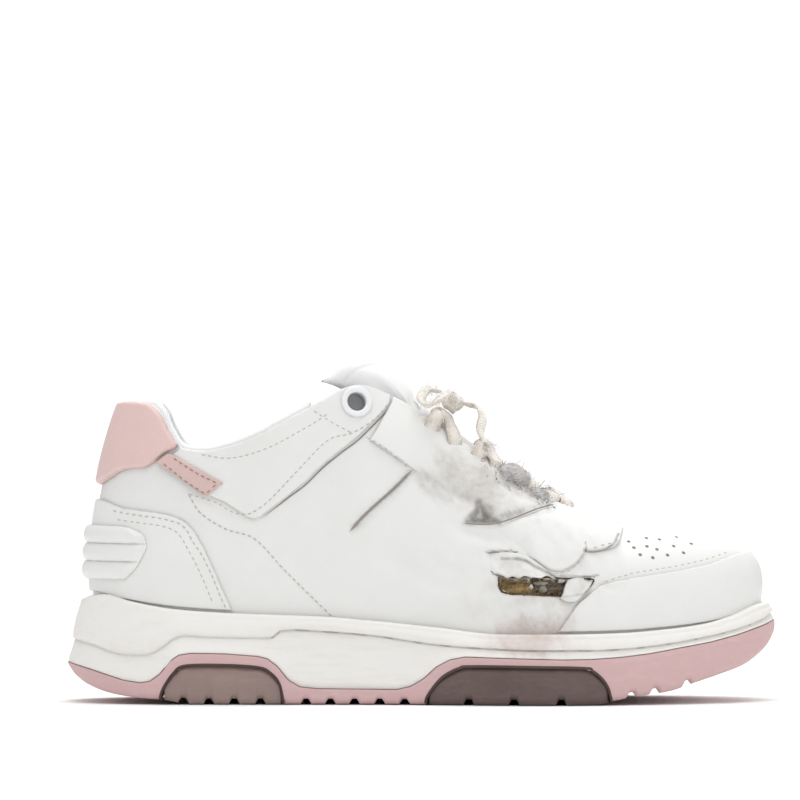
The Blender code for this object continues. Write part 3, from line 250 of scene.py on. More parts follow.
BLUSH = [(184.8, 26.5, 18, 11, 0, 0.70), (190.0, 36.0, 16, 6, 10, 0.30), (163.0, 86.0, 13, 9, -30, 0.34)]
# Dark lines of painted shade in seams, folds and along edges, from the side, in mm: (points, half width,
# strength)
SHADE_LINES = [
    ([(114.6, 68.2), (123, 76.2), (130.2, 82.6), (138.2, 91.6)], 2.2, 0.34),
    ([(137.6, 92.8), (142, 88.5), (149, 84)], 2.4, 0.16),
    ([(157.6, 71.2), (163, 71.6), (170, 71.0), (178, 73.6), (188, 75.6), (194, 76.8)], 1.5, 0.42),
    ([(164.0, 79.6), (163.2, 76.0), (159.5, 72.4)], 1.9, 0.95),
    ([(165.0, 77.6), (167.4, 73.8), (172.0, 71.8)], 1.7, 0.85),
    ([(160.5, 72.6), (166, 72.2), (172, 72.0)], 1.5, 0.90),
    ([(167.2, 60.2), (171, 60.4), (177, 60.6)], 0.55, 1.00),
    ([(173, 57.6), (181, 57.2), (187, 54.2), (194, 50.4)], 0.85, 0.80),
    ([(205.6, 60.8), (209, 60.4), (214, 61.2), (217.6, 63.6), (219.4, 67)], 0.55, 0.85),
    ([(196, 51.0), (205, 50.4), (211, 51.0)], 0.60, 0.85),
    ([(193, 79.8), (199, 81.6), (203, 85.2)], 0.60, 0.65),
    ([(184, 43.4), (196, 42.6), (205, 43.6)], 0.70, 0.55),
]

# The stretch of the outer stay's lower edge that is rubbed flush, and how the rubbing blends
RUBBED = (0.1350, 0.1880)
RUB_LENGTH = 0.0070
RUB_WIDTH = 0.0105
RUB_DEPTH = 0.0004
# The matted lumps: side-view place and radii along, across and up, in metres
LUMPS = [((0.1772, 0.0880), (0.0068, 0.0042, 0.0058)), ((0.1870, 0.0815), (0.0052, 0.0034, 0.0034))]
# The tear's sheets: name, first and last share of LENGTH, depth behind the wall
TEAR_SHEETS = [("torn_backing", 0.602, 0.656, 0.0004), ("torn_lining", 0.640, 0.743, 0.0012)]
# Upper and lower edges of the lifted strip and of the scrap, from the side, in metres
STRIP_EDGES = (
    [(0.1676, 0.0600), (0.1784, 0.0596), (0.1860, 0.0564), (0.1928, 0.0512)],
    [(0.1690, 0.0512), (0.1770, 0.0497), (0.1860, 0.0500), (0.1950, 0.0498)])
SCRAP_EDGES = (
    [(0.1990, 0.0493), (0.2020, 0.0500), (0.2060, 0.0506), (0.2098, 0.0504)],
    [(0.1958, 0.0415), (0.1990, 0.0402), (0.2025, 0.0408), (0.2066, 0.0450)])
# Bits caught in the slit: side-view place, half width and half height, in metres
TORN_BITS = [
    (0.1843, 0.0468, 0.0007, 0.0012), (0.1892, 0.0458, 0.0017, 0.0019), (0.1884, 0.0484, 0.0030, 0.0010),
]
# The dark dish behind an eyelet, painted shade seen through its hole: (radius, height along its axis)
EYELET_SHADE_DISH = [
    (0.0, -0.0034), (0.0030, -0.0033), (0.0044, -0.0029), (0.0046, -0.0032), (0.0032, -0.0038),
    (0.0, -0.0039),
]
# Dark strips of painted shade along open seams, fold edges and a panel's edge, from the side, in mm:
# (points, width, thickness, height over the last at its start and at its end, sides)
SEAM_SHADE_GAPS = [
    ([(112.8, 68.0), (118, 73.8), (124, 79.4), (130.5, 85.2), (137.8, 92.6)],
     1.0, 0.9, (0.05, 0.05), (-1,)),
    ([(77.9, 73.2), (89.3, 82.0), (95.3, 86.5), (102.4, 93.4), (109.5, 99.2), (116.8, 104.8),
      (127.1, 115.3), (129.8, 119.8)], 0.5, 0.2, (0.14, 0.14), (-1, 1)),
    ([(167.2, 59.6), (171, 60.1), (175, 59.7), (179.5, 60.3)], 0.75, 0.8, (0.1, 0.1), (-1,)),
    ([(168.4, 52.8), (171, 51.0), (175, 49.8), (184, 49.6)], 0.5, 0.5, (0.2, 0.2), (-1,)),
    ([(157.6, 71.4), (163, 70.8), (170, 70.6), (178, 72.8), (187, 76.0), (194.5, 77.6)],
     0.6, 0.6, (0.1, 1.75), (-1,)),
]


def unit(arrows):
    """Arrows divided by their own lengths."""
    return arrows / np.linalg.norm(arrows, axis=-1, keepdims=True)


def run_along(route):
    """Length along a route up to each of its points: the running sum of its steps."""
    return np.concatenate([[0], np.cumsum(np.linalg.norm(np.diff(route, axis=0), axis=-1))])


def curve_through(points):
    """A cubic through (x, y) points that never swings past them: each inner slope is the weighted
    harmonic mean of its neighbours, or level at a peak."""
    xs, ys = (np.array(column, float) for column in zip(*points))
    steps = np.diff(xs)
    slopes = np.diff(ys) / steps
    before, after = slopes[:-1], slopes[1:]
    near, far = 2 * steps[1:] + steps[:-1], steps[1:] + 2 * steps[:-1]
    same = before * after > 0
    safe = np.where(same, before, 1), np.where(same, after, 1)
    inner = np.where(same, (near + far) / (near / safe[0] + far / safe[1]), 0)
    tangents = np.concatenate([slopes[:1], inner, slopes[-1:]])

    def value(x):
        """The cubic at x: its two knots blended, plus a bump from their slopes."""
        x = np.clip(x, xs[0], xs[-1])
        i = np.clip(np.searchsorted(xs, x) - 1, 0, len(steps) - 1)
        t = (x - xs[i]) / steps[i]
        rise = (1 + 2 * t) * (1 - t) ** 2 * ys[i] + t * t * (3 - 2 * t) * ys[i + 1]
        return rise + steps[i] * t * (1 - t) * ((1 - t) * tangents[i] - t * tangents[i + 1])

    return value


def sole_line(table):
    """A smooth side-view line of the sole: height for a place along the shoe, in metres."""
    shares = curve_through(table)
    return lambda x: SOLE_HEIGHT * shares(np.asarray(x) / LENGTH)


def joint_line(table):
    """A side-view line, straight between its points, where two rubbers meet."""
    xs, zs = (np.array(column, float) for column in zip(*table))
    return lambda x: SOLE_HEIGHT * np.interp(np.asarray(x) / LENGTH, xs, zs)


def upper_line(table):
    """A side-view line on the upper, straight between its points, rounded by a short average."""
    xs, zs = (np.array(column, float) for column in zip(*table))
    shift = np.linspace(-0.004, 0.004, 9)

    def height(x):
        """The mean of the line's heights at nine places close together."""
        share = np.asarray(x)[..., None] / LENGTH + shift
        return UPPER_HEIGHT * np.interp(share, xs, zs).mean(-1)

    return height


cup_line = joint_line(CUP_LINE)
step_line = sole_line(STEP_LINE)
rim_line = sole_line(RIM_LINE)
floor_line = sole_line(FLOOR_LINE)
rim_inset = sole_line(RIM_INSET)
half_width = curve_through([
    (0, HEEL_WIDTH / 2), (0.2, HEEL_WIDTH / 2), (0.42, WAIST_WIDTH / 2),
    (0.70, BALL_WIDTH / 2), (1, BALL_WIDTH * 0.49),
])
middle = curve_through([
    (0, 0), (0.3, -0.06 * TOE_SWING), (0.5, -0.14 * TOE_SWING), (0.64, -0.05 * TOE_SWING),
    (0.8, 0.42 * TOE_SWING), (0.9, 0.72 * TOE_SWING), (1, TOE_SWING),
])
HEEL_ROUND, TOE_ROUND = 0.17, 0.33
HEEL_POWER, TOE_POWER = 2.15, 2.1


def footprint(turn):
    """The outsole's outline: half width times two superellipse ends, for turns from -pi to pi."""
    turn = np.asarray(turn, float)
    share = (1 - np.cos(turn)) / 2
    heel = np.clip(1 - share / HEEL_ROUND, 0, 1)
    toe = np.clip(1 - (1 - share) / TOE_ROUND, 0, 1)
    closing = (1 - heel**HEEL_POWER) ** (1 / HEEL_POWER) * (1 - toe**TOE_POWER) ** (1 / TOE_POWER)
    side = np.sign(np.sin(turn))
    return np.stack([share * LENGTH, middle(share) + side * half_width(share) * closing], -1)


def outline(turn, inset=0.0):
    """The footprint drawn in by inset along its own normals."""
    turn = np.asarray(turn, float)
    tiny = 1e-3
    along = footprint(turn + tiny) - footprint(turn - tiny)
    normal = unit(np.stack([-along[..., 1], along[..., 0]], -1))
    return footprint(turn) - normal * np.asarray(inset)[..., None]


_around = footprint(np.linspace(-math.pi, math.pi, 721))
ORIGIN = np.array([*(-(_around.min(0) + _around.max(0)) / 2), 0.0])

top_x, top_half, top_z = (
    curve_through([(row[0], row[k]) for row in TOP_EDGE]) for k in (1, 2, 3)
)
doming, bulge, squareness = (curve_through(t) for t in (DOMING, BULGE, SQUARENESS))


def last_point(way, height):
    """The outside of the upper. way is -1 to 1, outer side negative, 0 at the heel, 1 at the toe.
    height is 0 at the cup's rim and 1 at the edge or ridge. Between the two, a section is a lean
    of power 1.7 at the collar, blended into a quarter superellipse over the foot, plus a swell."""
    way, height = np.broadcast_arrays(np.asarray(way, float), np.asarray(height, float))
    part, side = np.abs(way), np.where(way < 0, -1.0, 1.0)
    turns = side * np.clip(part, 1e-5, 1 - 1e-5) * math.pi
    inner = rim_inset(footprint(turns)[..., 0]) + RIM_THICKNESS
    flat = outline(turns, inner + 3 * GAP)
    base = np.stack([flat[..., 0], flat[..., 1], rim_line(flat[..., 0]) + 3 * GAP], -1)
    share = top_x(part)
    top = np.stack([
        share * LENGTH, middle(share) + side * top_half(part) * BALL_WIDTH,
        top_z(part) * UPPER_HEIGHT], -1)
    closed, power = doming(part), squareness(part)
    angle = np.clip(height, 0, 1) * math.pi / 2
    up = (1 - closed) * height + closed * np.sin(angle) ** (2 / power)
    lean = np.clip(height, 0, None) ** 1.7
    over = (1 - closed) * lean + closed * (1 - np.clip(np.cos(angle), 0, 1) ** (2 / power))
    point = base + (top - base) * np.stack([over, over, up], -1)
    swell = bulge(part) * np.sin(np.clip(height, 0, 1) * math.pi)
    outward = unit(flat - outline(turns, inner + 0.001))
    point[..., :2] += outward * swell[..., None]
    return point


def last_normal(way, height):
    """Outward normal of last_point: the cross product of its two small differences."""
    d = 1e-3
    along = last_point(way + d, height) - last_point(way - d, height)
    up = last_point(way, height + d) - last_point(way, height - d)
    return unit(np.cross(up, along))


def across_throat(way, across):
    """A surface over the open throat, across -1 to 1: past the leather's edge it follows the upper,
    and between the edges it is a cubic arch that leaves them along their own slope."""
    way, across = np.broadcast_arrays(np.asarray(way, float), np.asarray(across, float))
    side = np.where(across < 0, -1.0, 1.0)
    beyond = np.clip((np.abs(across) - THROAT_HALF) / (1 - THROAT_HALF), 0, 1)
    wing = last_point(side * way, 1 - WING * beyond)
    ends = {}
    for s in (-1.0, 1.0):
        edge = last_point(s * way, np.ones_like(way))
        ends[s] = edge, unit(edge - last_point(s * way, np.full_like(way, 0.97)))
    (left, left_run), (right, right_run) = ends[-1.0], ends[1.0]
    reach = CROWN * np.linalg.norm(right - left, axis=-1, keepdims=True)
    a, b = left + left_run * reach, right + right_run * reach
    t = np.clip((across / THROAT_HALF + 1) / 2, 0, 1)[..., None]
    arch = (1 - t)**3 * left + 3 * t * (1 - t)**2 * a + 3 * t * t * (1 - t) * b + t**3 * right
    return np.where((np.abs(across) < THROAT_HALF)[..., None], arch, wing)


def throat_normal(way, across):
    """Upward normal of across_throat, from its two small differences."""
    d = 2e-3
    along = across_throat(way + d, across) - across_throat(way - d, across)
    over = across_throat(way, across + d) - across_throat(way, across - d)
    normal = unit(np.cross(along, over))
    return np.where(normal[..., 2:] < 0, -normal, normal)


def smooth_route(points, count):
    """Points along a Catmull-Rom curve through a given route."""
    points = np.array(points, float)
    padded = np.concatenate([[2 * points[0] - points[1]], points, [2 * points[-1] - points[-2]]])
    t = np.linspace(0, len(points) - 1, count)
    i = np.minimum(t.astype(int), len(points) - 2)
    u = (t - i)[:, None]
    a, b, c, d = (padded[i + k] for k in range(4))
    return 0.5 * (2 * b + (c - a) * u + (2 * a - 5 * b + 4 * c - d) * u * u
                  + (3 * b - a - 3 * c + d) * u ** 3)


def ripple(place, size, seed):
    """Soft noise from -1 to 1: the mean of sines of random direction whose wavelength is size."""
    pick = np.random.default_rng(seed)
    waves = pick.normal(size=(14, place.shape[-1])) * (2 * math.pi / size) * 0.7
    return np.sin(place @ waves.T + pick.uniform(0, 6.28, 14)).mean(-1) * 2.2


def off_route(places, route):
    """Distance of places from a line of straight stretches: the least over its stretches."""
    route = np.asarray(route, float)
    start, run = route[:-1], np.diff(route, axis=0)
    found = np.full(len(places), np.inf)
    size = (run**2).sum(-1) + 1e-18
    for block in np.array_split(np.arange(len(places)), max(1, len(places) * len(run) // 400000)):
        away = places[block][:, None] - start
        t = np.clip((away * run).sum(-1) / size, 0, 1)
        found[block] = np.sqrt(((away - run * t[..., None])**2).sum(-1).min(-1))
    return found


def relief(points, side):
    """How far the worn leather stands off the last: a bell-shaped trough or ridge along each crease
    line, fading at its ends, and a slow unevenness over all."""
    flat = points.reshape(-1, 3)
    places = flat[:, [0, 2]] * 1000
    outer = np.broadcast_to(side, points.shape[:-1]).reshape(-1) < 0
    total = ripple(flat, 0.034, 3) * 0.00012
    shaken = places + np.stack([ripple(flat, 0.011, 4), ripple(flat, 0.011, 5)], -1) * 0.6
    for creases, where in ((CREASES_BOTH, None), (CREASES_OUTER, outer), (CREASES_INNER, ~outer)):
        for line, depth, width in creases:
            route = smooth_route(line, 14)
            off = off_route(shaken, route)
            ends = np.minimum(*(np.linalg.norm(shaken - route[k], axis=-1) for k in (0, -1)))
            fade = np.clip(ends / (width * 2.5), 0, 1)
            bump = -depth / 1000 * np.exp(-(off / width) ** 2) * fade
            total = total + (bump if where is None else bump * where)
    return total.reshape(points.shape[:-1])


def smeared(points, table):
    """How strongly a place is marked, by dirt or by the few ovals of painted shade in the soil table: the
    strongest of a set of turned, ragged ovals, 0 to 1.
    """
    flat = points.reshape(-1, 3)
    x, z = flat[:, 0] * 1000, flat[:, 2] * 1000
    total = np.zeros(len(flat))
    rag = ripple(flat, 0.013, 11) * 0.26 + ripple(flat, 0.0045, 12) * 0.12
    for cx, cz, rx, rz, turn, strength in table:
        c, s = math.cos(math.radians(turn)), math.sin(math.radians(turn))
        u, v = (x - cx) * c + (z - cz) * s, (z - cz) * c - (x - cx) * s
        off = np.sqrt((u / rx)**2 + (v / rz)**2) + rag
        total = np.maximum(total, strength * np.clip(1.5 - off, 0, 1) ** 1.4)
    return (total * outer_share(flat)).reshape(points.shape[:-1])


def outer_share(flat):
    """1 on the outer side, falling to 0.35 on the inner side, which is less dirty."""
    t = np.clip(0.5 - flat[:, 1] / 0.016, 0, 1)
    return 0.35 + 0.65 * t * t * (3 - 2 * t)


def shade_lines(points):
    """Dark lines of painted shade in seams, folds and along edges: bell-shaped across, broken up a little
    along.
    """
    flat = points.reshape(-1, 3)
    places = flat[:, [0, 2]] * 1000 + ripple(flat, 0.006, 14)[:, None] * 0.12
    total = np.zeros(len(flat))
    for line, width, strength in SHADE_LINES:
        off = off_route(places, smooth_route(line, 16))
        total = np.maximum(total, strength * np.exp(-(off / width) ** 2))
    return (total * (flat[:, 1] < 0.004)).reshape(points.shape[:-1])


def skin(way, height):
    """The worn upper's outside and its normal: the last plus its relief."""
    way, height = np.broadcast_arrays(np.asarray(way, float), np.asarray(height, float))
    point, normal = last_point(way, height), last_normal(way, height)
    lift = relief(point, np.where(way < 0, -1, 1))
    return point + normal * lift[..., None], normal


_ways = np.linspace(0.003, 0.997, 420)
_heights = np.linspace(0, 1, 140)
_net = {s: last_point(s * _ways[:, None], _heights[None, :])[..., [0, 2]] for s in (-1, 1)}


def on_last(places, side):
    """way and height of side-view places in metres: the nearest knot of a fine net, then Newton."""
    places = np.asarray(places, float)
    flat = _net[side].reshape(-1, 2)
    nearest = np.concatenate([
        ((flat[None] - part[:, None]) ** 2).sum(-1).argmin(1)
        for part in np.array_split(places, max(1, len(places) // 40))])
    way, height = _ways[nearest // len(_heights)], _heights[nearest % len(_heights)]
    d = 1e-4
    for _ in range(4):
        here = last_point(side * way, height)[:, [0, 2]]
        by_way = (last_point(side * (way + d), height)[:, [0, 2]] - here) / d
        by_height = (here - last_point(side * way, height - d)[:, [0, 2]]) / d
        size = by_way[:, 0] * by_height[:, 1] - by_way[:, 1] * by_height[:, 0]
        size = np.where(np.abs(size) < 1e-9, 1e-9, size)
        miss = places - here
        step = (miss[:, 0] * by_height[:, 1] - miss[:, 1] * by_height[:, 0]) / size
        rise = (by_way[:, 0] * miss[:, 1] - by_way[:, 1] * miss[:, 0]) / size
        way = np.clip(way + np.clip(step, -0.01, 0.01), 0.002, 0.998)
        height = np.clip(height + np.clip(rise, -0.02, 0.02), 0, 1)
    return side * way, height


def height_where(way, line):
    """Height where each column of constant way meets a side-view line, found by halving."""
    low, high = np.zeros_like(way), np.ones_like(way)
    for _ in range(24):
        mid = (low + high) / 2
        point = last_point(way, mid)
        over = point[..., 2] > line(point[..., 0])
        high = np.where(over, mid, high)
        low = np.where(over, low, mid)
    return (low + high) / 2


def crowded(count):
    """Shares from 0 to 1 that lie closer together towards both ends."""
    t = np.linspace(0, 1, count)
    return 0.72 * (1 - np.cos(math.pi * t)) / 2 + 0.28 * t


def grid_faces(rows, columns, wrap_rows=False, wrap_columns=False):
    """Quads of a grid numbered row by row, as one array."""
    r = np.arange(rows if wrap_rows else rows - 1)
    c = np.arange(columns if wrap_columns else columns - 1)
    r, c = np.meshgrid(r, c, indexing="ij")
    up, on = (r + 1) % rows, (c + 1) % columns
    quads = [r * columns + c, r * columns + on, up * columns + on, up * columns + c]
    return np.stack(quads, -1).reshape(-1, 4)


def lay_down(name, points, faces, finish, replaces=(), marks=None, closed=True, weld=2e-6):
    """Makes a piece of points in the heel's frame, welded, faces outwards, riding on the shoe."""
    mesh = bpy.data.meshes.new(name)
    points = np.asarray(points, float).reshape(-1, 3) + ORIGIN
    mesh.from_pydata(points.tolist(), [], [list(map(int, face)) for face in faces])
    for label, values in (marks or {}).items():
        layer = mesh.attributes.new(label, "FLOAT", "POINT")
        layer.data.foreach_set("value", np.asarray(values, np.float32).reshape(-1))
    work = bmesh.new()
    work.from_mesh(mesh)
    if weld:
        bmesh.ops.remove_doubles(work, verts=work.verts, dist=weld)
        bmesh.ops.dissolve_degenerate(work, edges=work.edges, dist=1e-8)
    if closed:
        bmesh.ops.recalc_face_normals(work, faces=work.faces)
    work.to_mesh(mesh)
    work.free()
    mesh.shade_smooth()
    made = bpy.data.objects.new(name, mesh)
    scene.collection.objects.link(made)
    made.data.materials.append(finish)
    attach(made, "root")
    if replaces:
        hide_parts(*replaces)
    return made


def dirt_and_shade_marks(points):
    """The four marks that the materials read: soil, stain and blush of dirt, and line of painted shade."""
    return {
        "soil": smeared(points, SOIL_AND_SHADE), "stain": smeared(points, STAIN),
        "blush": smeared(points, BLUSH), "line": shade_lines(points),
    }


def lay_joined(name, pieces, finish, replaces=()):
    """Lays down several (points, faces) or (points, faces, marks) as one piece, none welded."""
    points, faces, marks, start = [], [], {}, 0
    for made, own, *kept in pieces:
        points.append(made)
        faces += [tuple(i + start for i in face) for face in own]
        start += len(made)
        for label, values in (kept[0] if kept else {}).items():
            marks.setdefault(label, []).append(values)
    marks = {label: np.concatenate(parts) for label, parts in marks.items()}
    return lay_down(name, np.concatenate(points), faces, finish, replaces, marks, weld=0)


def two_faced(outer, inner):
    """Points and quads of the closed form between two grids of one size, whose borders meet."""
    rows, columns = outer.shape[:2]
    quads = grid_faces(rows, columns)
    size = rows * columns
    ring = np.concatenate([
        np.arange(columns), np.arange(1, rows) * columns + columns - 1,
        (rows - 1) * columns + np.arange(columns - 2, -1, -1), np.arange(rows - 2, 0, -1) * columns])
    on = np.roll(ring, -1)
    walls = np.stack([ring, on, size + on, size + ring], -1)
    points = np.concatenate([outer.reshape(-1, 3), inner.reshape(-1, 3)])
    return points, np.concatenate([quads, quads[:, ::-1] + size, walls])


def sleeve_faces(rows, columns):
    """Faces of a grid that closes on itself over its rows, with a cap at each open end."""
    faces = [tuple(quad) for quad in grid_faces(rows, columns, wrap_rows=True)]
    return faces + [tuple(r * columns + c for r in range(rows)) for c in (0, columns - 1)]


def ball_points(rows, columns):
    """A ball of radius 1 with its poles along Y."""
    rise, turn = np.meshgrid(np.linspace(-math.pi / 2, math.pi / 2, rows),
                             np.linspace(0, 2 * math.pi, columns, endpoint=False), indexing="ij")
    return np.stack([np.cos(rise) * np.cos(turn), np.sin(rise), np.cos(rise) * np.sin(turn)], -1)


def slit_loop():
    """The torn slit's closed outline from the side, in metres."""
    slit = np.array(TEAR_OUTLINE) * [LENGTH, UPPER_HEIGHT]
    return np.concatenate([slit, slit[:1]])


def border(grid):
    """The closed line round a grid's edge."""
    return np.concatenate([grid[0], grid[1:, -1], grid[-1, -2::-1], grid[-2::-1, 0]])


def panel(ways, low, high, rows, lift=GAP, thick=PANEL, puff=0.00022, soft=0.0007, worn=None,
          joined=None):
    """A leather overlay between two side-view lines. Each column of constant way is cut where it
    meets the lines. The outer face rises from the edge as a quarter circle of radius soft, with a
    slow puff towards its middle. Between the two places in worn the lower edge is rubbed down: it
    sinks smoothly into the leather below it. Where joined names a side, "end" or "top", it stays
    square there, to meet its mirror image."""
    ways = ways[0] + (ways[1] - ways[0]) * crowded(int(ways[2]))
    start = height_where(ways, low) if low else np.zeros_like(ways)
    stop = height_where(ways, high) if high else np.ones_like(ways)
    stop = np.maximum(start, stop)
    share = crowded(rows)[:, None]
    height = start + (stop - start) * share
    way = np.broadcast_to(ways, height.shape)
    point, normal = skin(way, height)
    free = border(point)
    if joined == "end":
        free = np.concatenate([point[0, ::-1], point[1:, 0], point[-1, 1:]])
    if joined == "top":
        free = np.concatenate([point[::-1, 0], point[0, 1:], point[1:, -1]])
    off = off_route(point.reshape(-1, 3), free).reshape(height.shape)
    near = np.clip(off / soft, 0, 1)
    rise = thick * (0.12 + 0.88 * np.sqrt(np.clip(1 - (1 - near)**2, 0, 1)))
    rise = rise + puff * np.clip(off / 0.007, 0, 1) ** 0.7
    outer, inner = lift + rise, np.full(off.shape, lift)
    if worn:
        low_off = off_route(point.reshape(-1, 3), point[0]).reshape(height.shape)
        ends = np.clip((point[..., 0] - worn[0]) / RUB_LENGTH, 0, 1)
        ends = ends * np.clip((worn[1] - point[..., 0]) / RUB_LENGTH, 0, 1)
        share_worn = (ends * ends * (3 - 2 * ends)) * (1 - np.clip(low_off / RUB_WIDTH, 0, 1)) ** 1.3
        outer = outer * (1 - share_worn) - RUB_DEPTH * share_worn
        inner = inner * (1 - share_worn) - 2 * RUB_DEPTH * share_worn
    outer = point + normal * outer[..., None]
    inner = point + normal * inner[..., None]
    points, faces = two_faced(outer, inner)
    marks = dirt_and_shade_marks(points)
    edge = np.clip(1 - off / 0.0011, 0, 1).reshape(-1)
    marks["edge"] = np.concatenate([edge, edge])
    return points, faces, marks


def tube(route, normals, section, spread=None):
    """A section of (side, up) points carried along a route, closed at both ends by a fan. spread
    scales the section along the way. Returns points, faces and the run and cross of each point."""
    route = np.asarray(route, float)
    run = unit(np.gradient(route, axis=0))
    length = run_along(route)
    side = unit(np.cross(normals, run))
    up = np.cross(run, side)
    section = np.asarray(section, float)
    scale = np.ones(len(route)) if spread is None else np.asarray(spread)
    a = section[:, 0][:, None] * scale
    b = section[:, 1][:, None] * scale
    rings = route + side * a[..., None] + up * b[..., None]
    count, size = len(route), len(section)
    points = np.concatenate([rings.reshape(-1, 3), route[:1], route[-1:]])
    faces = [tuple(q) for q in grid_faces(size, count, wrap_rows=True)]
    rows = np.arange(size)
    on = (rows + 1) % size
    faces += [(size * count, j * count, i * count) for i, j in zip(rows, on)]
    faces += [(size * count + 1, i * count + count - 1, j * count + count - 1) for i, j in zip(rows, on)]
    along = np.concatenate([np.tile(length, size), [0, length[-1]]])
    cross = np.concatenate([a.reshape(-1), [0, 0]])
    return points, faces, {"along": along, "cross": cross}


def oval(width, thickness, count=14, power=3.0):
    """A closed superellipse section of (side, up) points."""
    t = np.linspace(0, 2 * math.pi, count, endpoint=False)
    c, s = np.cos(t), np.sin(t)
    return np.stack([
        np.sign(c) * np.abs(c) ** (2 / power) * width / 2,
        np.sign(s) * np.abs(s) ** (2 / power) * thickness / 2], -1)


def level_normals(route, lean=(0.0, 0.0, 1.0)):
    """Normals square to a route, as near to a leaning direction as they can be."""
    run = unit(np.gradient(np.asarray(route, float), axis=0))
    lean = np.asarray(lean, float)
    return unit(lean - run * (run @ lean)[:, None])


def add(tree, kind, settings=None, inputs=None):
    """A node with its settings, and its inputs given as numbers or as other nodes' outputs."""
    made = tree.nodes.new(kind)
    for key, value in (settings or {}).items():
        setattr(made, key, value)
    for key, value in (inputs or {}).items():
        if isinstance(value, bpy.types.NodeSocket):
            tree.links.new(value, made.inputs[key])
        else:
            made.inputs[key].default_value = value
    return made


def maths(tree, operation, first, second=0.5):
    """One arithmetic step."""
    return add(tree, "ShaderNodeMath", {"operation": operation}, {0: first, 1: second}).outputs[0]


def blend_colour(tree, share, first, second):
    """first where share is 0 and second where it is 1."""
    made = add(tree, "ShaderNodeMix", {"data_type": "RGBA"}, {0: share, 6: first, 7: second})
    return made.outputs[2]


def ramp(tree, value, start, stop, low=0.0, high=1.0, settings=None):
    """A value's stretch from start to stop laid over the stretch from low to high."""
    return add(tree, "ShaderNodeMapRange", settings, {
        "Value": value, "From Min": start, "From Max": stop, "To Min": low, "To Max": high}).outputs[0]


def noise(tree, where, scale, detail=4.0, rough=0.55):
    """Cloudy noise, about 0.5 in the mean."""
    return add(tree, "ShaderNodeTexNoise", None, {
        "Vector": where, "Scale": scale, "Detail": detail, "Roughness": rough}).outputs[0]


def place_of(tree):
    """The place on the shoe, in object space."""
    return add(tree, "ShaderNodeTexCoord").outputs["Object"]


def mark_of(tree, label):
    """One of the piece's own marks, such as edge, soil or along."""
    return add(tree, "ShaderNodeAttribute", {"attribute_name": label}).outputs["Fac"]


def group_of(name, inputs, outputs):
    """An empty node group with its sockets, and its two end nodes."""
    tree = bpy.data.node_groups.new(name, "ShaderNodeTree")
    for label, kind in inputs:
        tree.interface.new_socket(label, in_out="INPUT", socket_type=kind)
    for label, kind in outputs:
        tree.interface.new_socket(label, in_out="OUTPUT", socket_type=kind)
    return tree, tree.nodes.new("NodeGroupInput"), tree.nodes.new("NodeGroupOutput")


def make_grain():
    """Leather grain: small cells with soft valleys between them, over fine pores."""
    tree, given, out = group_of(
        "leather_grain", [("Scale", "NodeSocketFloat")],
        [("Height", "NodeSocketFloat"), ("Mottle", "NodeSocketFloat")])
    where = place_of(tree)
    cells = add(tree, "ShaderNodeTexVoronoi", {"feature": "DISTANCE_TO_EDGE"}, {
        "Vector": where, "Scale": given.outputs[0], "Randomness": 0.9}).outputs["Distance"]
    valleys = maths(tree, "MINIMUM", maths(tree, "MULTIPLY", cells, 3.2), 1.0)
    pores = noise(tree, where, maths(tree, "MULTIPLY", given.outputs[0], 1.8), 3.0)
    height = maths(tree, "ADD", maths(tree, "MULTIPLY", valleys, 0.6), maths(tree, "MULTIPLY", pores, 0.6))
    tree.links.new(height, out.inputs["Height"])
    tree.links.new(noise(tree, where, 42.0, 5.0), out.inputs["Mottle"])
    return tree


def make_soiling_and_shade():
    """Dust, grime and painted shade: the four marks, three of dirt and one of painted shade lines, broken
    up by noise, laid over a colour.
    """
    tree, given, out = group_of(
        "soiling_and_shade", [("Color", "NodeSocketColor")],
        [("Color", "NodeSocketColor"), ("Mask", "NodeSocketFloat")])
    where = place_of(tree)
    fine = noise(tree, where, 420.0, 6.0, 0.65)
    broad = noise(tree, where, 95.0, 5.0, 0.6)
    rag = maths(tree, "ADD", maths(tree, "MULTIPLY", fine, 0.75), maths(tree, "MULTIPLY", broad, 0.85))
    colour = given.outputs[0]
    haze = ramp(tree, noise(tree, where, 26.0, 6.0, 0.6), 0.48, 0.80, 0.0, 0.10)
    colour = blend_colour(tree, haze, colour, (0.55, 0.50, 0.44, 1))
    masks = []
    # blush, stain and soil are dirt, and soil also holds a few ovals of painted shade; line is painted
    # shade in seams, folds and along edges
    kinds = (("blush", (0.50, 0.36, 0.32, 1), 0.75), ("stain", (0.42, 0.35, 0.24, 1), 0.75),
             ("soil", (0.34, 0.315, 0.295, 1), 0.85), ("line", (0.14, 0.12, 0.105, 1), 0.85))
    for label, tint, most in kinds:
        mask = maths(tree, "MULTIPLY", mark_of(tree, label), rag)
        mask = ramp(tree, mask, 0.06, 0.95, 0.0, most, {"interpolation_type": "SMOOTHSTEP"})
        colour = blend_colour(tree, mask, colour, tint)
        masks.append(mask)
    tree.links.new(colour, out.inputs["Color"])
    worst = masks[0]
    for mask in masks[1:]:
        worst = maths(tree, "MAXIMUM", worst, mask)
    tree.links.new(worst, out.inputs["Mask"])
    return tree


def make_edge_wear():
    """Rubbed edges: a piece's own edge mark broken up by noise."""
    tree, given, out = group_of("edge_wear", [("Color", "NodeSocketColor"), ("Worn", "NodeSocketColor")],
                                [("Color", "NodeSocketColor")])
    where = place_of(tree)
    mask = maths(tree, "MULTIPLY", mark_of(tree, "edge"), noise(tree, where, 300.0, 4.0))
    mask = ramp(tree, mask, 0.22, 0.62, 0.0, 0.75)
    tree.links.new(blend_colour(tree, mask, given.outputs[0], given.outputs[1]), out.inputs[0])
    return tree


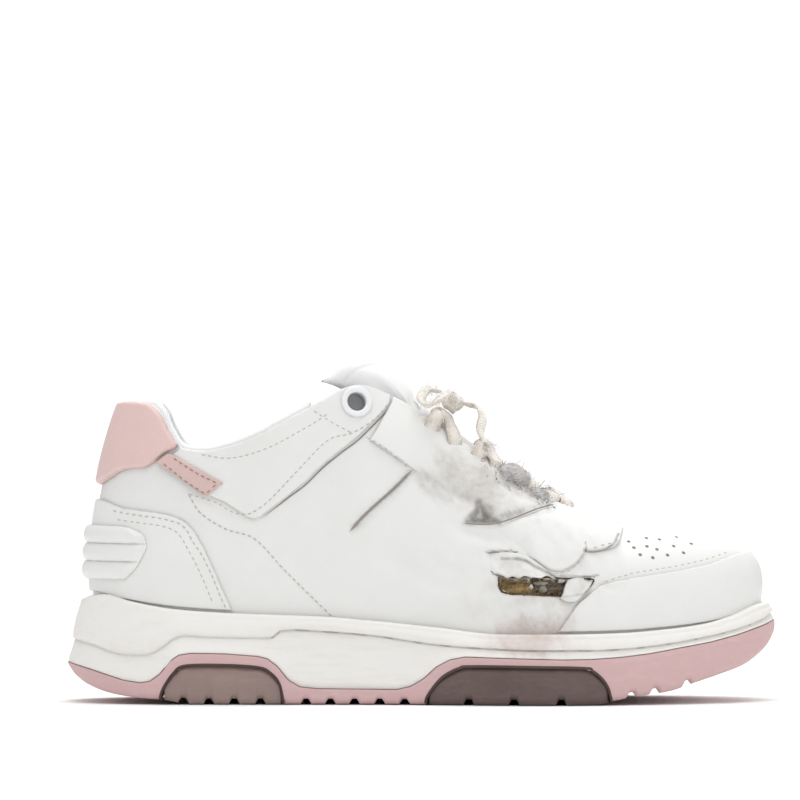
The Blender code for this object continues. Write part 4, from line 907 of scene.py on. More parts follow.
def make_knit():
    """Fine lining knit: crossed sine ribs in object space, with a little fluff."""
    tree, given, out = group_of("knit", [("Pitch", "NodeSocketFloat")], [("Height", "NodeSocketFloat")])
    where = place_of(tree)
    parts = add(tree, "ShaderNodeSeparateXYZ", None, {0: where})
    waves = []
    for sign in (1.0, -1.0):
        slant = maths(tree, "MULTIPLY", parts.outputs["Z"], sign)
        slant = maths(tree, "ADD", parts.outputs["X"], slant)
        slant = maths(tree, "ADD", slant, maths(tree, "MULTIPLY", parts.outputs["Y"], 0.8 * sign))
        waves.append(maths(tree, "SINE", maths(tree, "MULTIPLY", slant, given.outputs[0])))
    ribs = maths(tree, "MULTIPLY", waves[0], waves[1])
    tree.links.new(maths(tree, "ADD", ribs, noise(tree, where, 900.0, 3.0)), out.inputs[0])
    return tree


def make_weave():
    """Flat lace weave: a herringbone of sines over the length and width marks of the lace."""
    tree, given, out = group_of("lace_weave", [("Pitch", "NodeSocketFloat")],
                                [("Height", "NodeSocketFloat"), ("Shade", "NodeSocketFloat")])
    along, cross = mark_of(tree, "along"), mark_of(tree, "cross")
    folded = maths(tree, "PINGPONG", maths(tree, "ADD", cross, 0.01), 0.0011)
    ribs = maths(tree, "SINE", maths(tree, "MULTIPLY", maths(tree, "ADD", along, folded), given.outputs[0]))
    cords = maths(tree, "SINE", maths(tree, "MULTIPLY", cross, 5700.0))
    height = maths(tree, "ADD", ribs, maths(tree, "MULTIPLY", cords, 0.7))
    tree.links.new(height, out.inputs[0])
    where = place_of(tree)
    tree.links.new(noise(tree, where, 330.0, 5.0, 0.7), out.inputs[1])
    return tree


GRAIN, SOILING_AND_SHADE, EDGE_WEAR, KNIT, WEAVE = (
    make_grain(), make_soiling_and_shade(), make_edge_wear(), make_knit(), make_weave())


def begin(name, roughness, settings=()):
    """A material with its shader, whose plain numbers are set on the shader itself."""
    made = bpy.data.materials.new(name)
    made.use_nodes = True
    tree = made.node_tree
    shader = tree.nodes["Principled BSDF"]
    shader.inputs["Roughness"].default_value = roughness
    for key, value in dict(settings).items():
        shader.inputs[key].default_value = value
    return made, tree, shader


def use(tree, group, inputs=None):
    """A node group placed in a material, with its inputs."""
    return add(tree, "ShaderNodeGroup", {"node_tree": group}, inputs)


def bump(tree, shader, height, strength, depth):
    """Low relief: height times depth, in metres, tilts the shader's normal."""
    made = add(tree, "ShaderNodeBump", None, {"Strength": strength, "Distance": depth, "Height": height})
    tree.links.new(made.outputs[0], shader.inputs["Normal"])


def soil_and_shade_over(tree, shader, colour):
    """Lays the grime and the painted shade lines over a colour, gives it to the shader, and returns how
    strongly it is marked.
    """
    soiled = use(tree, SOILING_AND_SHADE, {"Color": colour})
    tree.links.new(soiled.outputs["Color"], shader.inputs["Base Color"])
    return soiled.outputs["Mask"]


def leather(name, colour, worn, roughness, scale, depth):
    """Smooth leather: faint mottling, rubbed edges, grime with painted shade lines, grain and a roughness
    that the dirt and painted shade dull.
    """
    made, tree, shader = begin(name, roughness, {"Specular IOR Level": 0.45, "Coat Weight": 0.06})
    grain = use(tree, GRAIN, {"Scale": scale})
    pale = tuple(c * 0.93 for c in colour)
    base = blend_colour(tree, grain.outputs["Mottle"], (*colour, 1), (*pale, 1))
    edged = use(tree, EDGE_WEAR, {"Color": base, "Worn": (*worn, 1)})
    dirt_and_shade = soil_and_shade_over(tree, shader, edged.outputs[0])
    dull = maths(tree, "ADD", dirt_and_shade, maths(tree, "MULTIPLY", grain.outputs["Mottle"], 0.3))
    tree.links.new(ramp(tree, dull, 0.0, 1.2, roughness, 0.92), shader.inputs["Roughness"])
    bump(tree, shader, grain.outputs["Height"], 0.5, depth)
    return made


def rubber(name, colour, dusty, roughness, extra=()):
    """Moulded rubber: fine pitting, scuffs that run along the shoe, dust and grime, and the painted shade
    that the marks carry.
    """
    made, tree, shader = begin(name, roughness, dict(extra))
    where = place_of(tree)
    streaks = add(tree, "ShaderNodeMapping", None, {"Vector": where, "Scale": (0.25, 1.0, 1.6)}).outputs[0]
    scuff = ramp(tree, noise(tree, streaks, 210.0, 7.0, 0.7), 0.50, 0.78, 0.0, 0.55)
    dirt_and_shade = soil_and_shade_over(tree, shader, blend_colour(tree, scuff, (*colour, 1), (*dusty, 1)))
    dull = maths(tree, "ADD", scuff, dirt_and_shade)
    tree.links.new(ramp(tree, dull, 0.0, 1.0, roughness, 0.9), shader.inputs["Roughness"])
    pits = maths(tree, "ADD", noise(tree, where, 1500.0, 2.0), maths(tree, "MULTIPLY", scuff, 0.6))
    bump(tree, shader, pits, 0.35, 0.00012)
    return made


def cloth(name, colour, shade, pitch, depth):
    """Soft knit lining with grime."""
    made, tree, shader = begin(name, 0.9, {"Sheen Weight": 0.25, "Specular IOR Level": 0.25})
    knit = use(tree, KNIT, {"Pitch": pitch})
    cloudy = noise(tree, place_of(tree), 60.0, 5.0)
    soil_and_shade_over(tree, shader, blend_colour(tree, cloudy, (*colour, 1), (*shade, 1)))
    bump(tree, shader, knit.outputs[0], 0.5, depth)
    return made


def lace_stuff(name, colour, dirty):
    """Flat woven lace, dirtier in patches and towards its edges."""
    made, tree, shader = begin(name, 0.92, {"Sheen Weight": 0.3, "Specular IOR Level": 0.2})
    weave = use(tree, WEAVE, {"Pitch": 4300.0})
    edge = maths(tree, "MULTIPLY", maths(tree, "ABSOLUTE", mark_of(tree, "cross")), 260.0)
    patchy = maths(tree, "ADD", maths(tree, "MULTIPLY", edge, 0.55), weave.outputs["Shade"])
    mask = ramp(tree, patchy, 0.62, 1.15, 0.0, 0.85)
    base = blend_colour(tree, mask, (*colour, 1), (*dirty, 1))
    tree.links.new(base, shader.inputs["Base Color"])
    bump(tree, shader, weave.outputs["Height"], 0.55, 0.00016)
    return made


def torn_stuff(name, dark, light, tinge=(0.62, 0.78, 0.95)):
    """Torn backing and matted fluff: patches of coarse fibre from dark to light. tinge turns a part
    of the light patches to a second colour."""
    made, tree, shader = begin(name, 0.95, {"Specular IOR Level": 0.15})
    where = place_of(tree)
    stretched = add(tree, "ShaderNodeMapping", None, {
        "Vector": where, "Scale": (0.28, 1.0, 1.9)}).outputs[0]
    patch = ramp(tree, noise(tree, stretched, 260.0, 6.0, 0.7), 0.38, 0.66)
    other = ramp(tree, noise(tree, where, 170.0, 3.0), 0.44, 0.60)
    second = tuple(c * k for c, k in zip(light, tinge))
    tint = blend_colour(tree, other, (*light, 1), (*second, 1))
    base = blend_colour(tree, patch, (*dark, 1), tint)
    tree.links.new(base, shader.inputs["Base Color"])
    bump(tree, shader, noise(tree, stretched, 900.0, 5.0, 0.7), 0.9, 0.0006)
    return made


WHITE = leather("white_leather", (0.80, 0.80, 0.785), (0.52, 0.51, 0.49), 0.42, 900.0, 0.00005)
PINK = leather("pink_leather", (0.75, 0.545, 0.52), (0.52, 0.38, 0.35), 0.45, 520.0, 0.00012)
STRAP = leather("strap_leather", (0.66, 0.475, 0.45), (0.44, 0.32, 0.29), 0.5, 520.0, 0.00012)
PINK_SOLE = rubber("pink_rubber", (0.60, 0.40, 0.40), (0.68, 0.53, 0.52), 0.55)
CREAM = rubber("cream_rubber", (0.80, 0.785, 0.755), (0.70, 0.67, 0.63), 0.5)
TREAD = rubber("tread_rubber", (0.27, 0.185, 0.165), (0.36, 0.27, 0.25), 0.36, {"Coat Weight": 0.35})
DARK_TREAD = rubber("dark_tread_rubber", (0.085, 0.048, 0.040), (0.165, 0.108, 0.096), 0.34,
                    {"Coat Weight": 0.35})
BROWN = rubber("window_line", (0.045, 0.025, 0.022), (0.10, 0.06, 0.05), 0.6)
LINING = cloth("lining", (0.85, 0.855, 0.86), (0.80, 0.80, 0.80), 5200.0, 0.00007)
# grey cloth that paints the shade seen through the top eyelets
PAINTED_SHADE_CLOTH = cloth("painted_shade_cloth", (0.50, 0.505, 0.51), (0.40, 0.405, 0.41), 5200.0, 0.0001)
LACE = lace_stuff("lace", (0.79, 0.755, 0.70), (0.40, 0.30, 0.22))
# thread darker than the leather: its colour paints the shade in and round the stitch holes
SHADED_THREAD = lace_stuff("thread", (0.50, 0.47, 0.44), (0.34, 0.30, 0.27))
BROWN_THREAD = lace_stuff("brown_thread", (0.30, 0.20, 0.18), (0.18, 0.11, 0.10))
TORN = torn_stuff("torn_backing", (0.16, 0.10, 0.045), (0.72, 0.50, 0.24))
TORN_BROWN = torn_stuff("torn_lining", (0.10, 0.080, 0.060), (0.38, 0.30, 0.23), (0.9, 0.88, 0.82))
CRUMPLED = torn_stuff("crumpled_leather", (0.26, 0.25, 0.20), (0.52, 0.50, 0.42), (0.84, 0.86, 0.82))
# near-black rim colour: painted shade of the torn slit's depth
RIM_SHADE = torn_stuff("torn_rim_shade", (0.035, 0.027, 0.016), (0.16, 0.12, 0.07))
FLUFF = torn_stuff("matted_fluff", (0.50, 0.485, 0.475), (0.66, 0.64, 0.63), (0.88, 0.88, 0.88))
RING = rubber("eyelet", (0.80, 0.81, 0.82), (0.72, 0.72, 0.72), 0.4)
# grey-brown strips that paint the shade along open seams, fold edges and a panel's edge
SEAM_SHADE = rubber("open_seam_shade", (0.27, 0.25, 0.235), (0.40, 0.375, 0.355), 0.9)
# dark grey that paints the shade inside the punched holes
HOLE_SHADE = rubber("painted_hole_shade", (0.20, 0.195, 0.19), (0.30, 0.29, 0.28), 0.9)


# Camera: it looks at the outer side from a little above level
SENSOR_WIDTH = 36
VIEW_WIDTH = 0.320
VIEW_MIDDLE = np.array([-0.0087, 0.0, 0.120])
VIEW_RISE = math.radians(0.3)
VIEW_AWAY = 3.2
lens = bpy.data.cameras.new("camera")
lens.sensor_width = SENSOR_WIDTH
lens.lens = SENSOR_WIDTH * VIEW_AWAY / VIEW_WIDTH
eye = bpy.data.objects.new("camera", lens)
eye.location = VIEW_MIDDLE + VIEW_AWAY * np.array([0, -math.cos(VIEW_RISE), math.sin(VIEW_RISE)])
eye.rotation_euler = (math.pi / 2 - VIEW_RISE, 0, 0)
scene.collection.objects.link(eye)
scene.camera = eye

# The bow: flat cords along the routes of their solids, in metres from the knot's middle
BOW_LOOP = [
    (0.0000, 0.0056, 0.0006), (-0.0008, 0.0115, 0.0028), (-0.0030, 0.0180, 0.0030),
    (-0.0068, 0.0232, 0.0006), (-0.0108, 0.0238, -0.0010), (-0.0128, 0.0195, 0.0018),
    (-0.0105, 0.0130, 0.0052), (-0.0062, 0.0068, 0.0046),
]
BOW_END = [
    (0.0048, 0.0022, -0.0004), (0.0098, 0.0080, -0.0018), (0.0118, 0.0150, -0.0060),
    (0.0108, 0.0205, -0.0112), (0.0128, 0.0245, -0.0165),
]
LACE_LIFT = GAP + PANEL + 3 * GAP + LACE_THICKNESS / 2


def knot_middle():
    """The knot's middle: over the throat's arch between the first two rows of holes."""
    way = np.array((LACE_ROWS[0] + LACE_ROWS[1]) / 2)
    rise = LACE_LIFT + LACE_THICKNESS / 2 + 3 * GAP + KNOT_RADIUS
    return across_throat(way, np.array(0.0)) + throat_normal(way, np.array(0.0)) * rise


def make_bow():
    """Knot, loops and ends. A loop or end is a flat oval section carried along its route, and the
    knot is a ball whose surface swells in three slanting wraps."""
    centre = knot_middle()
    around = np.linspace(0, 2 * math.pi, 56, endpoint=False)
    rise = np.linspace(-math.pi / 2, math.pi / 2, 30)
    r, a = np.meshgrid(rise, around, indexing="ij")
    wraps = 1 + 0.10 * np.cos(3 * r + 1.6 * np.sin(a)) + 0.05 * np.sin(2 * a + r)
    ball = np.stack([np.cos(r) * np.cos(a), 1.12 * np.cos(r) * np.sin(a), 0.95 * np.sin(r)], -1)
    knot = lay_down("bow_knot", centre + ball * wraps[..., None] * KNOT_RADIUS * 0.98,
                    grid_faces(30, 56, wrap_columns=True), LACE, ("lace_knot",),
                    {"along": a * KNOT_RADIUS, "cross": r * KNOT_RADIUS * 0.5})
    for side, word in SIDES:
        for kind, table, count in (("loop", BOW_LOOP, 60), ("end", BOW_END, 40)):
            route = centre + smooth_route(table, count) * [1, side, 1]
            lean = (0.2, -0.3 * side, 1.0) if kind == "loop" else (0.8, 0.2 * side, 0.7)
            normals = level_normals(route, lean)
            ends = np.clip(np.linspace(0, 1, count) / 0.04, 0.75, 1)
            points, faces, marks = tube(route, normals, oval(BOW_CORD * 1.1, BOW_CORD * 0.42), ends)
            piece = lay_down(f"bow_{kind}_{word}", points, faces, LACE,
                             (f"lace_{kind}_{word}",), marks)


make_bow()


def eyelet_place(side):
    """Middle and outward normal of the top eyelet."""
    way, height = on_last([(EYELET_PLACE[0] * LENGTH, EYELET_PLACE[1] * UPPER_HEIGHT)], side)
    return last_point(way, height)[0], last_normal(way, height)[0]


def bored(points):
    """Which points lie where a top eyelet's barrel passes, under its ring."""
    inside = np.zeros(len(points), bool)
    for side in (-1, 1):
        centre, axis = eyelet_place(side)
        away = points - centre
        deep = away @ axis
        off = np.linalg.norm(away - deep[:, None] * axis, axis=-1)
        inside |= (off < EYELET_FLANGE - 0.0017) & (np.abs(deep) < 0.006)
    return inside


def make_upper():
    """The white upper: the worn skin on a grid, finer on the outer side by the throat and the tear,
    with the torn slit left open and its rim drawn onto the slit's outline."""
    marks = np.linspace(-1, 1, 4001)
    density = 1 + 1.9 * np.exp(-((marks + 0.64) / 0.16) ** 4)
    share = np.concatenate([[0], np.cumsum((density[1:] + density[:-1]) / 2)])
    ways = np.interp(np.linspace(0, share[-1], 431)[:-1], share, marks)
    heights = np.linspace(0, 1, 92)
    point, normal = skin(ways[None, :], heights[:, None])
    skirt = np.stack([point[0] * [1, 1, 1 - t] for t in (1.0, 0.5)])
    floor = floor_line(point[0][:, 0]) + GAP
    skirt[:, :, 2] = floor + (point[0][:, 2] - floor) * np.array([[0.0], [0.5]])
    grid = np.concatenate([skirt, point])
    rows, columns = grid.shape[:2]
    slit = slit_loop()
    knots = np.linspace(0, 1, len(slit))
    jag = np.stack([np.interp(np.linspace(0, 1, 121), knots, column) for column in slit.T], -1)
    jag += random.normal(size=jag.shape) * 0.00022
    jag[-1] = jag[0]
    flat = grid.reshape(-1, 3)
    inside = within(flat[:, [0, 2]], jag) & (flat[:, 1] < 0)
    faces = grid_faces(rows, columns, wrap_columns=True)
    gone = inside[faces].sum(1) >= 3
    kept = faces[~gone]
    kept = kept[~bored(flat)[kept].any(1)]
    rim = np.intersect1d(np.unique(faces[gone]), np.unique(kept))
    nearest = ((flat[rim][:, None, [0, 2]] - jag[None]) ** 2).sum(-1).argmin(1)
    flat[rim[:, None], [0, 2]] = jag[nearest]
    skin_dirt_and_shade = dirt_and_shade_marks(flat)
    off = off_route(flat[:, [0, 2]], jag)
    skin_dirt_and_shade["edge"] = np.where(flat[:, 1] < 0, np.clip(1 - off / 0.0022, 0, 1), 0)
    made = lay_down("leather_upper", flat, kept, WHITE, ("upper",), skin_dirt_and_shade,
                    closed=False)
    made.data.materials.append(LINING)
    mesh = made.data
    sample = mesh.polygons[len(mesh.polygons) // 2]
    if (sample.center - Vector((0, 0, 0.05))).dot(sample.normal) < 0:
        mesh.flip_normals()
    wall = made.modifiers.new("wall", "SOLIDIFY")
    wall.thickness = WALL
    wall.offset = -1
    wall.material_offset = 1
    return made


def within(places, loop):
    """Whether places lie inside a closed loop: odd crossings of a ray along x."""
    a, b = loop[:-1], loop[1:]
    x, z = places[:, 0][:, None], places[:, 1][:, None]
    spans = (a[:, 1] > z) != (b[:, 1] > z)
    slope = (b[:, 0] - a[:, 0]) / np.where(b[:, 1] == a[:, 1], 1e-12, b[:, 1] - a[:, 1])
    return ((spans & (x < a[:, 0] + (z - a[:, 1]) * slope)).sum(1) % 2).astype(bool)


make_upper()

FIRST_LAYER = GAP
SECOND_LAYER = GAP + PANEL + GAP


def way_of(share_x, share_z):
    """Share of the way round of one side-view place, given as shares."""
    way, _ = on_last([(share_x * LENGTH, share_z * UPPER_HEIGHT)], 1)
    return float(way[0])


def place_panel(name, made, finish, replaces):
    """Lays down an overlay without the faces where a top eyelet passes."""
    points, faces, marks = made
    faces = faces[~bored(points)[faces].any(1)]
    lay_down(name, points, faces, finish, replaces, marks)


# Overlays with one piece a side: name, node, low and high edge, end places, columns, rows, looks, lift
SIDE_OVERLAYS = [
    ("stay", "eyestay", STAY_LOW, STAY_HIGH, ((0.4265, 0.827), (0.7390, 0.585)), 170, 34,
     WHITE, "white_leather", FIRST_LAYER),
    ("collar_leather", "collar_panel", PANEL_LOW, PANEL_HIGH, ((0.1358, 0.754), (0.4575, 0.985)), 200, 40,
     WHITE, "white_leather", FIRST_LAYER),
    ("pink_strap", "heel_strap", STRAP_LOW, STRAP_HIGH, ((0.1295, 0.7545), (0.2214, 0.6927)), 80, 26,
     STRAP, "pink_leather", SECOND_LAYER),
]


def make_panels():
    """The overlays: heel tab, counter, toe guard, eyestays, collar panels, straps, throat flap. The
    toe guard and the flap are two halves joined at the shoe's middle."""
    end = way_of(0.1615, 0.806)
    tab = panel((-end, end, 170), upper_line(TAB_LOW), None, 44, FIRST_LAYER, TAB_PAD, 0.0004, 0.0016)
    place_panel("pink_heel_tab", tab, PINK, ("heel_tab",))
    end = way_of(0.2390, 0.27)
    counter = panel((-end, end, 220), None, upper_line(COUNTER_HIGH), 44)
    place_panel("counter", counter, WHITE, ("heel_counter",))
    end = way_of(0.6888, 0.235)
    guard = [panel((side * end, side * 1.0, 150), None, upper_line(GUARD_HIGH), 40, joined="end")
             for side in (-1, 1)]
    lay_joined("toe_guard_leather", guard, WHITE, ("toe_guard",))
    for side, word in SIDES:
        for name, node, low, high, places, columns, rows, finish, slot, lift in SIDE_OVERLAYS:
            first, last = (side * way_of(*place) for place in places)
            worn = RUBBED if (name, side) == ("stay", -1) else None
            made = panel((first, last, columns), upper_line(low), upper_line(high), rows, lift, worn=worn)
            place_panel(f"{name}_{word}", made, finish, (f"{node}_{word}",))
    first, last = way_of(0.7318, 0.480), way_of(0.7836, 0.548)
    flap = [panel((side * first, side * last, 60), upper_line(FLAP_LOW), None, 26, joined="top")
            for side in (-1, 1)]
    lay_joined("throat_flap", flap, WHITE, ("throat_tab",))


make_panels()


def make_ribs():
    """Three pillows round the back of the counter: each swells as a root of a sine over its height,
    and all run out at the right-hand outline."""
    edge = curve_through([(z, x) for z, x in RIB_EDGE])
    v = np.linspace(0.3885, 0.5555, 61)
    ends, _ = on_last(np.stack([edge(v) * LENGTH, v * UPPER_HEIGHT], -1), 1)
    share = crowded(121) * 2 - 1
    ways = ends[:, None] * share[None, :]
    foot, top = last_point(ways, np.zeros_like(ways)), last_point(ways, np.ones_like(ways))
    height = (v[:, None] * UPPER_HEIGHT - foot[..., 2]) / (top[..., 2] - foot[..., 2])
    point, normal = skin(ways, height)
    base = SECOND_LAYER + 2 * GAP
    wave = np.abs(np.sin(3 * math.pi * (v - v[0]) / (v[-1] - v[0])))[:, None] ** 0.55
    run_out = np.clip((1 - np.abs(share)) * 14, 0, 1)[None, :] ** 0.6
    rise = PANEL * 0.25 + (PANEL * 0.35 + RIB_RISE) * wave * (0.25 + 0.75 * run_out)
    rise = rise * (0.15 + 0.85 * run_out)
    outer, inner = point + normal * (base + rise)[..., None], point + normal * (base - 2 * GAP)
    points, faces = two_faced(outer, inner)
    marks = dirt_and_shade_marks(points)
    # the edge mark, and with it the darker worn colour, is strongest in the valleys between the pillows
    marks["edge"] = np.tile((1 - wave * np.ones_like(run_out)).reshape(-1) * 0.8, 2)
    lay_down("ribbed_heel", points, faces, WHITE, ("heel_ribs",), marks)


make_ribs()


def ring_form(turns, rings):
    """Points and faces of stacked rings round the footprint, closed below and above by strips."""
    count = len(turns)
    points = []
    for inset, height in rings:
        flat = outline(turns, inset)
        points.append(np.concatenate([flat, np.broadcast_to(height, count)[:, None]], 1))
    faces = [tuple(q) for q in grid_faces(len(rings), count, wrap_columns=True)]
    half = count // 2
    for first in (0, (len(rings) - 1) * count):
        for i in range(half):
            quad = (first + i, first + i + 1, first + (count - i - 1) % count, first + (count - i) % count)
            faces.append(tuple(dict.fromkeys(quad)))
    return np.concatenate(points), faces


def fine_turns(count, kept=()):
    """Turns round the outline, even in length, with the kept places among them, both sides alike."""
    t = np.linspace(0, math.pi, 2001)
    run = run_along(footprint(t))
    one_side = np.interp(np.linspace(0, run[-1], count), run, t)
    extra = np.arccos(1 - 2 * np.array(kept)) if len(kept) else np.zeros(0)
    one_side = np.unique(np.round(np.concatenate([one_side, extra]), 5))
    near = np.concatenate([[True], np.diff(one_side) > 2e-4])
    one_side = one_side[near]
    one_side[0], one_side[-1] = 0.0, math.pi
    return np.concatenate([-one_side[::-1], one_side[1:-1]])


def steep_gap(line, x):
    """The height between two parallel lines that lie GAP apart: GAP over the slope's cosine."""
    tiny = LENGTH * 1e-3
    slope = (line(x + tiny) - line(x - tiny)) / (2 * tiny)
    return GAP * np.sqrt(1 + slope**2)


def groove_places(grooves):
    """Where each groove's walls begin and end, as shares of the length."""
    return [g + d * GROOVE_WIDTH / LENGTH / 2 for g in grooves for d in (-1, -0.4, 0.4, 1)]


def grooved(x, grooves):
    """The ground line raised into a rounded groove at each cross groove."""
    base = sole_line(GROUND_LINE)(x)
    for g in grooves:
        off = np.abs(x / LENGTH - g) * LENGTH / (GROOVE_WIDTH / 2)
        base = base + GROOVE_DEPTH * np.clip(1 - off, 0, 0.6) / 0.6
    return base


def make_midsole():
    """The cream cup: lower band, a proud upper band over a stitched groove, a rolled rim and the
    hollow inside. Each ring round the footprint has an inset and a height worked out from the
    side-view lines."""
    turns = fine_turns(330, [x for x, _ in CUP_LINE])
    x = footprint(turns)[:, 0]
    cup, step, rim = cup_line(x) + steep_gap(cup_line, x), step_line(x), rim_line(x)
    lip = rim_inset(x)
    inner = lip + RIM_THICKNESS
    share = (step - cup_line(x)) / (rim - cup_line(x))
    stitched = np.clip((x / LENGTH - 0.275) / 0.03, 0, 1)
    half = STEP_RELIEF * 0.8
    rings = []
    for s in np.linspace(0, 1, 9):
        soft = 0.0003 * (1 - min(1, s * 6)) ** 2
        rings.append((lip * share * s + STEP_RELIEF * (1.6 * s) + soft, cup + (step - half - cup) * s))
    deep = lip * share + STEP_RELIEF * 1.6 + 0.0004 + 0.0005 * stitched
    rings.append((deep, step - half * 0.2))
    rings.append((deep, step + half * 0.7))
    start, stop = lip * share - STEP_RELIEF * 0.4, lip - STEP_RELIEF * 0.5
    for s in np.linspace(0, 1, 9):
        swell = 0.0004 * math.sin(math.pi * s) - 0.0003 * max(0, 1 - s * 8)
        rings.append((start + (stop - start) * s - swell, step + half + (rim - RIM_ROLL - step - half) * s))
    for a in np.linspace(0, math.pi / 2, 7)[1:]:
        rings.append((stop + (lip + RIM_REACH - stop) * (1 - math.cos(a)),
                      rim - RIM_ROLL * (1 - math.sin(a))))
    rings += [(inner - 0.0006, rim), (inner - 0.0001, rim - 0.0004), (inner, rim - 0.0012),
              (inner, floor_line(x))]
    points, faces = ring_form(turns, rings)
    wobble = ripple(points, 0.02, 21) * 0.00006
    points[:, 1] += np.sign(points[:, 1]) * wobble
    marks = dirt_and_shade_marks(points)
    # darker towards the cup line at the bottom, and painted shade in the stitched groove under the proud
    # band
    low = np.clip(1 - (points[:, 2] - cup_line(points[:, 0])) / 0.0045, 0, 1) * 0.16
    groove_shade = np.zeros(len(points))
    groove_shade[9 * len(turns):11 * len(turns)] = 0.5
    marks["soil"] = np.maximum(marks["soil"] * 0.8, np.maximum(low, groove_shade * 0.5))
    lay_down("cream_cup", points, faces, CREAM, ("midsole",), marks)


make_midsole()


def make_outsole():
    """The pink outsole: the grooved ground line below, rounded up to the cup line, with the two
    windows where the tread pads sit."""
    arches = (HEEL_ARCH, BALL_ARCH)
    kept = [x for table in (HEEL_ARCH, BALL_ARCH, CUP_LINE) for x, _ in table]
    turns = fine_turns(330, kept + groove_places(WAIST_GROOVES + TOE_GROOVES))
    x = footprint(turns)[:, 0]
    share = x / LENGTH
    low = grooved(x, WAIST_GROOVES + TOE_GROOVES)
    inside = np.zeros(len(x))
    for table in arches:
        there = (share > table[0][0]) & (share < table[-1][0])
        low = np.where(there, np.maximum(joint_line(table)(x), low), low)
        inside = np.maximum(inside, there)
    cup = cup_line(x)
    inset = GROUND_INSET * (1 - 0.9 * inside)
    depth = np.minimum(GROUND_INSET, (cup - low) / 2)
    rings = [(inset * (1 - math.sin(a)), low + depth * (1 - math.cos(a)))
             for a in np.linspace(0, math.pi / 2, 7)]
    rings += [(-0.0001 * math.sin(math.pi * s), low + depth + (cup - low - depth) * s)
              for s in np.linspace(0, 1, 6)[1:]]
    points, faces = ring_form(turns, rings)
    marks = dirt_and_shade_marks(points)
    marks["soil"] = np.maximum(marks["soil"] * 0.5, np.clip(1 - points[:, 2] / 0.004, 0, 1) * 0.35)
    lay_down("pink_outsole", points, faces, PINK_SOLE, ("outsole",), marks)


make_outsole()


def make_tread(name, node, table, grooves, finish):
    """A tread pad under one arch: its foot follows the grooved ground with two long channels, its
    edge is a quarter round, and short upright flutes stand over the grooves at its side."""
    arch = joint_line(table)
    first, last = table[1][0] + 0.0015, table[-2][0] + 0.0025
    kept = [x for x, _ in table[2:-1]] + groove_places(grooves)
    share = np.unique(np.concatenate([np.linspace(first, last, 90), kept]))
    turns = np.arccos(1 - 2 * share)
    x = share * LENGTH
    top = arch(x) - steep_gap(arch, x)
    bottom = np.minimum(grooved(x, grooves), top)
    shoulder = np.minimum(bottom + GROUND_INSET, (top + bottom) / 2)
    flute = np.zeros(len(x))
    for g in grooves:
        flute = np.maximum(flute, np.exp(-((share - g) * LENGTH / FLUTE_WIDTH) ** 2))
    halves = []
    for side in (-1, 1):
        rows = []
        for a in np.linspace(0, math.pi / 2, 6):
            inset = PAD_INSET + (GROUND_INSET - PAD_INSET) * (1 - math.sin(a)) + FLUTE_DEPTH * flute
            rows.append((inset, bottom + (shoulder - bottom) * (1 - math.cos(a))))
        for s in np.linspace(0, 1, 7)[1:]:
            rows.append((PAD_INSET + FLUTE_DEPTH * flute * max(0, 1 - s * 1.1),
                         shoulder + (top - shoulder) * s))
        halves.append([np.stack([x, outline(side * turns, inset)[:, 1], z], -1) for inset, z in rows])
    left, right = halves[0][0], halves[1][0]
    under = []
    for t in np.linspace(0, 1, 60)[1:-1]:
        row = left + (right - left) * t
        for side in (-1, 1):
            off = np.abs(row[:, 1] - side * HEEL_WIDTH * 0.17) / (CHANNEL_WIDTH / 2)
            lift = CHANNEL_DEPTH * np.clip((1 - off) / 0.4, 0, 1)
            row[:, 2] = np.minimum(np.maximum(row[:, 2], np.where(off < 1, lift, 0)), top)
        under.append(row)
    section = np.array(halves[0][::-1] + under + halves[1])
    faces = sleeve_faces(*section.shape[:2])
    points = section.reshape(-1, 3)
    marks = dirt_and_shade_marks(points)
    marks["soil"] = np.clip(1 - points[:, 2] / 0.003, 0, 1) * 0.3
    lay_down(name, points, faces, finish, (node,), marks)


make_tread("heel_pad", "heel_tread", HEEL_ARCH, HEEL_GROOVES, TREAD)
make_tread("forefoot_pad", "forefoot_tread", BALL_ARCH, BALL_GROOVES, DARK_TREAD)


def make_window_lines():
    """The dark line round each window: a thin round cord carried along the arch at the sole's side."""
    lines = []
    for table in (HEEL_ARCH, BALL_ARCH):
        for side in (-1, 1):
            route = smooth_route(np.array(table) * [LENGTH, SOLE_HEIGHT], 90)
            turns = side * np.arccos(1 - 2 * np.clip(route[:, 0] / LENGTH, 0, 1))
            flat = outline(turns, 0.0002)
            line = np.stack([route[:, 0], flat[:, 1], np.maximum(route[:, 1], 0.0004)], -1)
            lines.append(tube(line, level_normals(line, (0, 1, 0.01)), oval(0.0012, 0.0012, 8, 2)))
    lay_joined("window_lines", lines, BROWN)


make_window_lines()


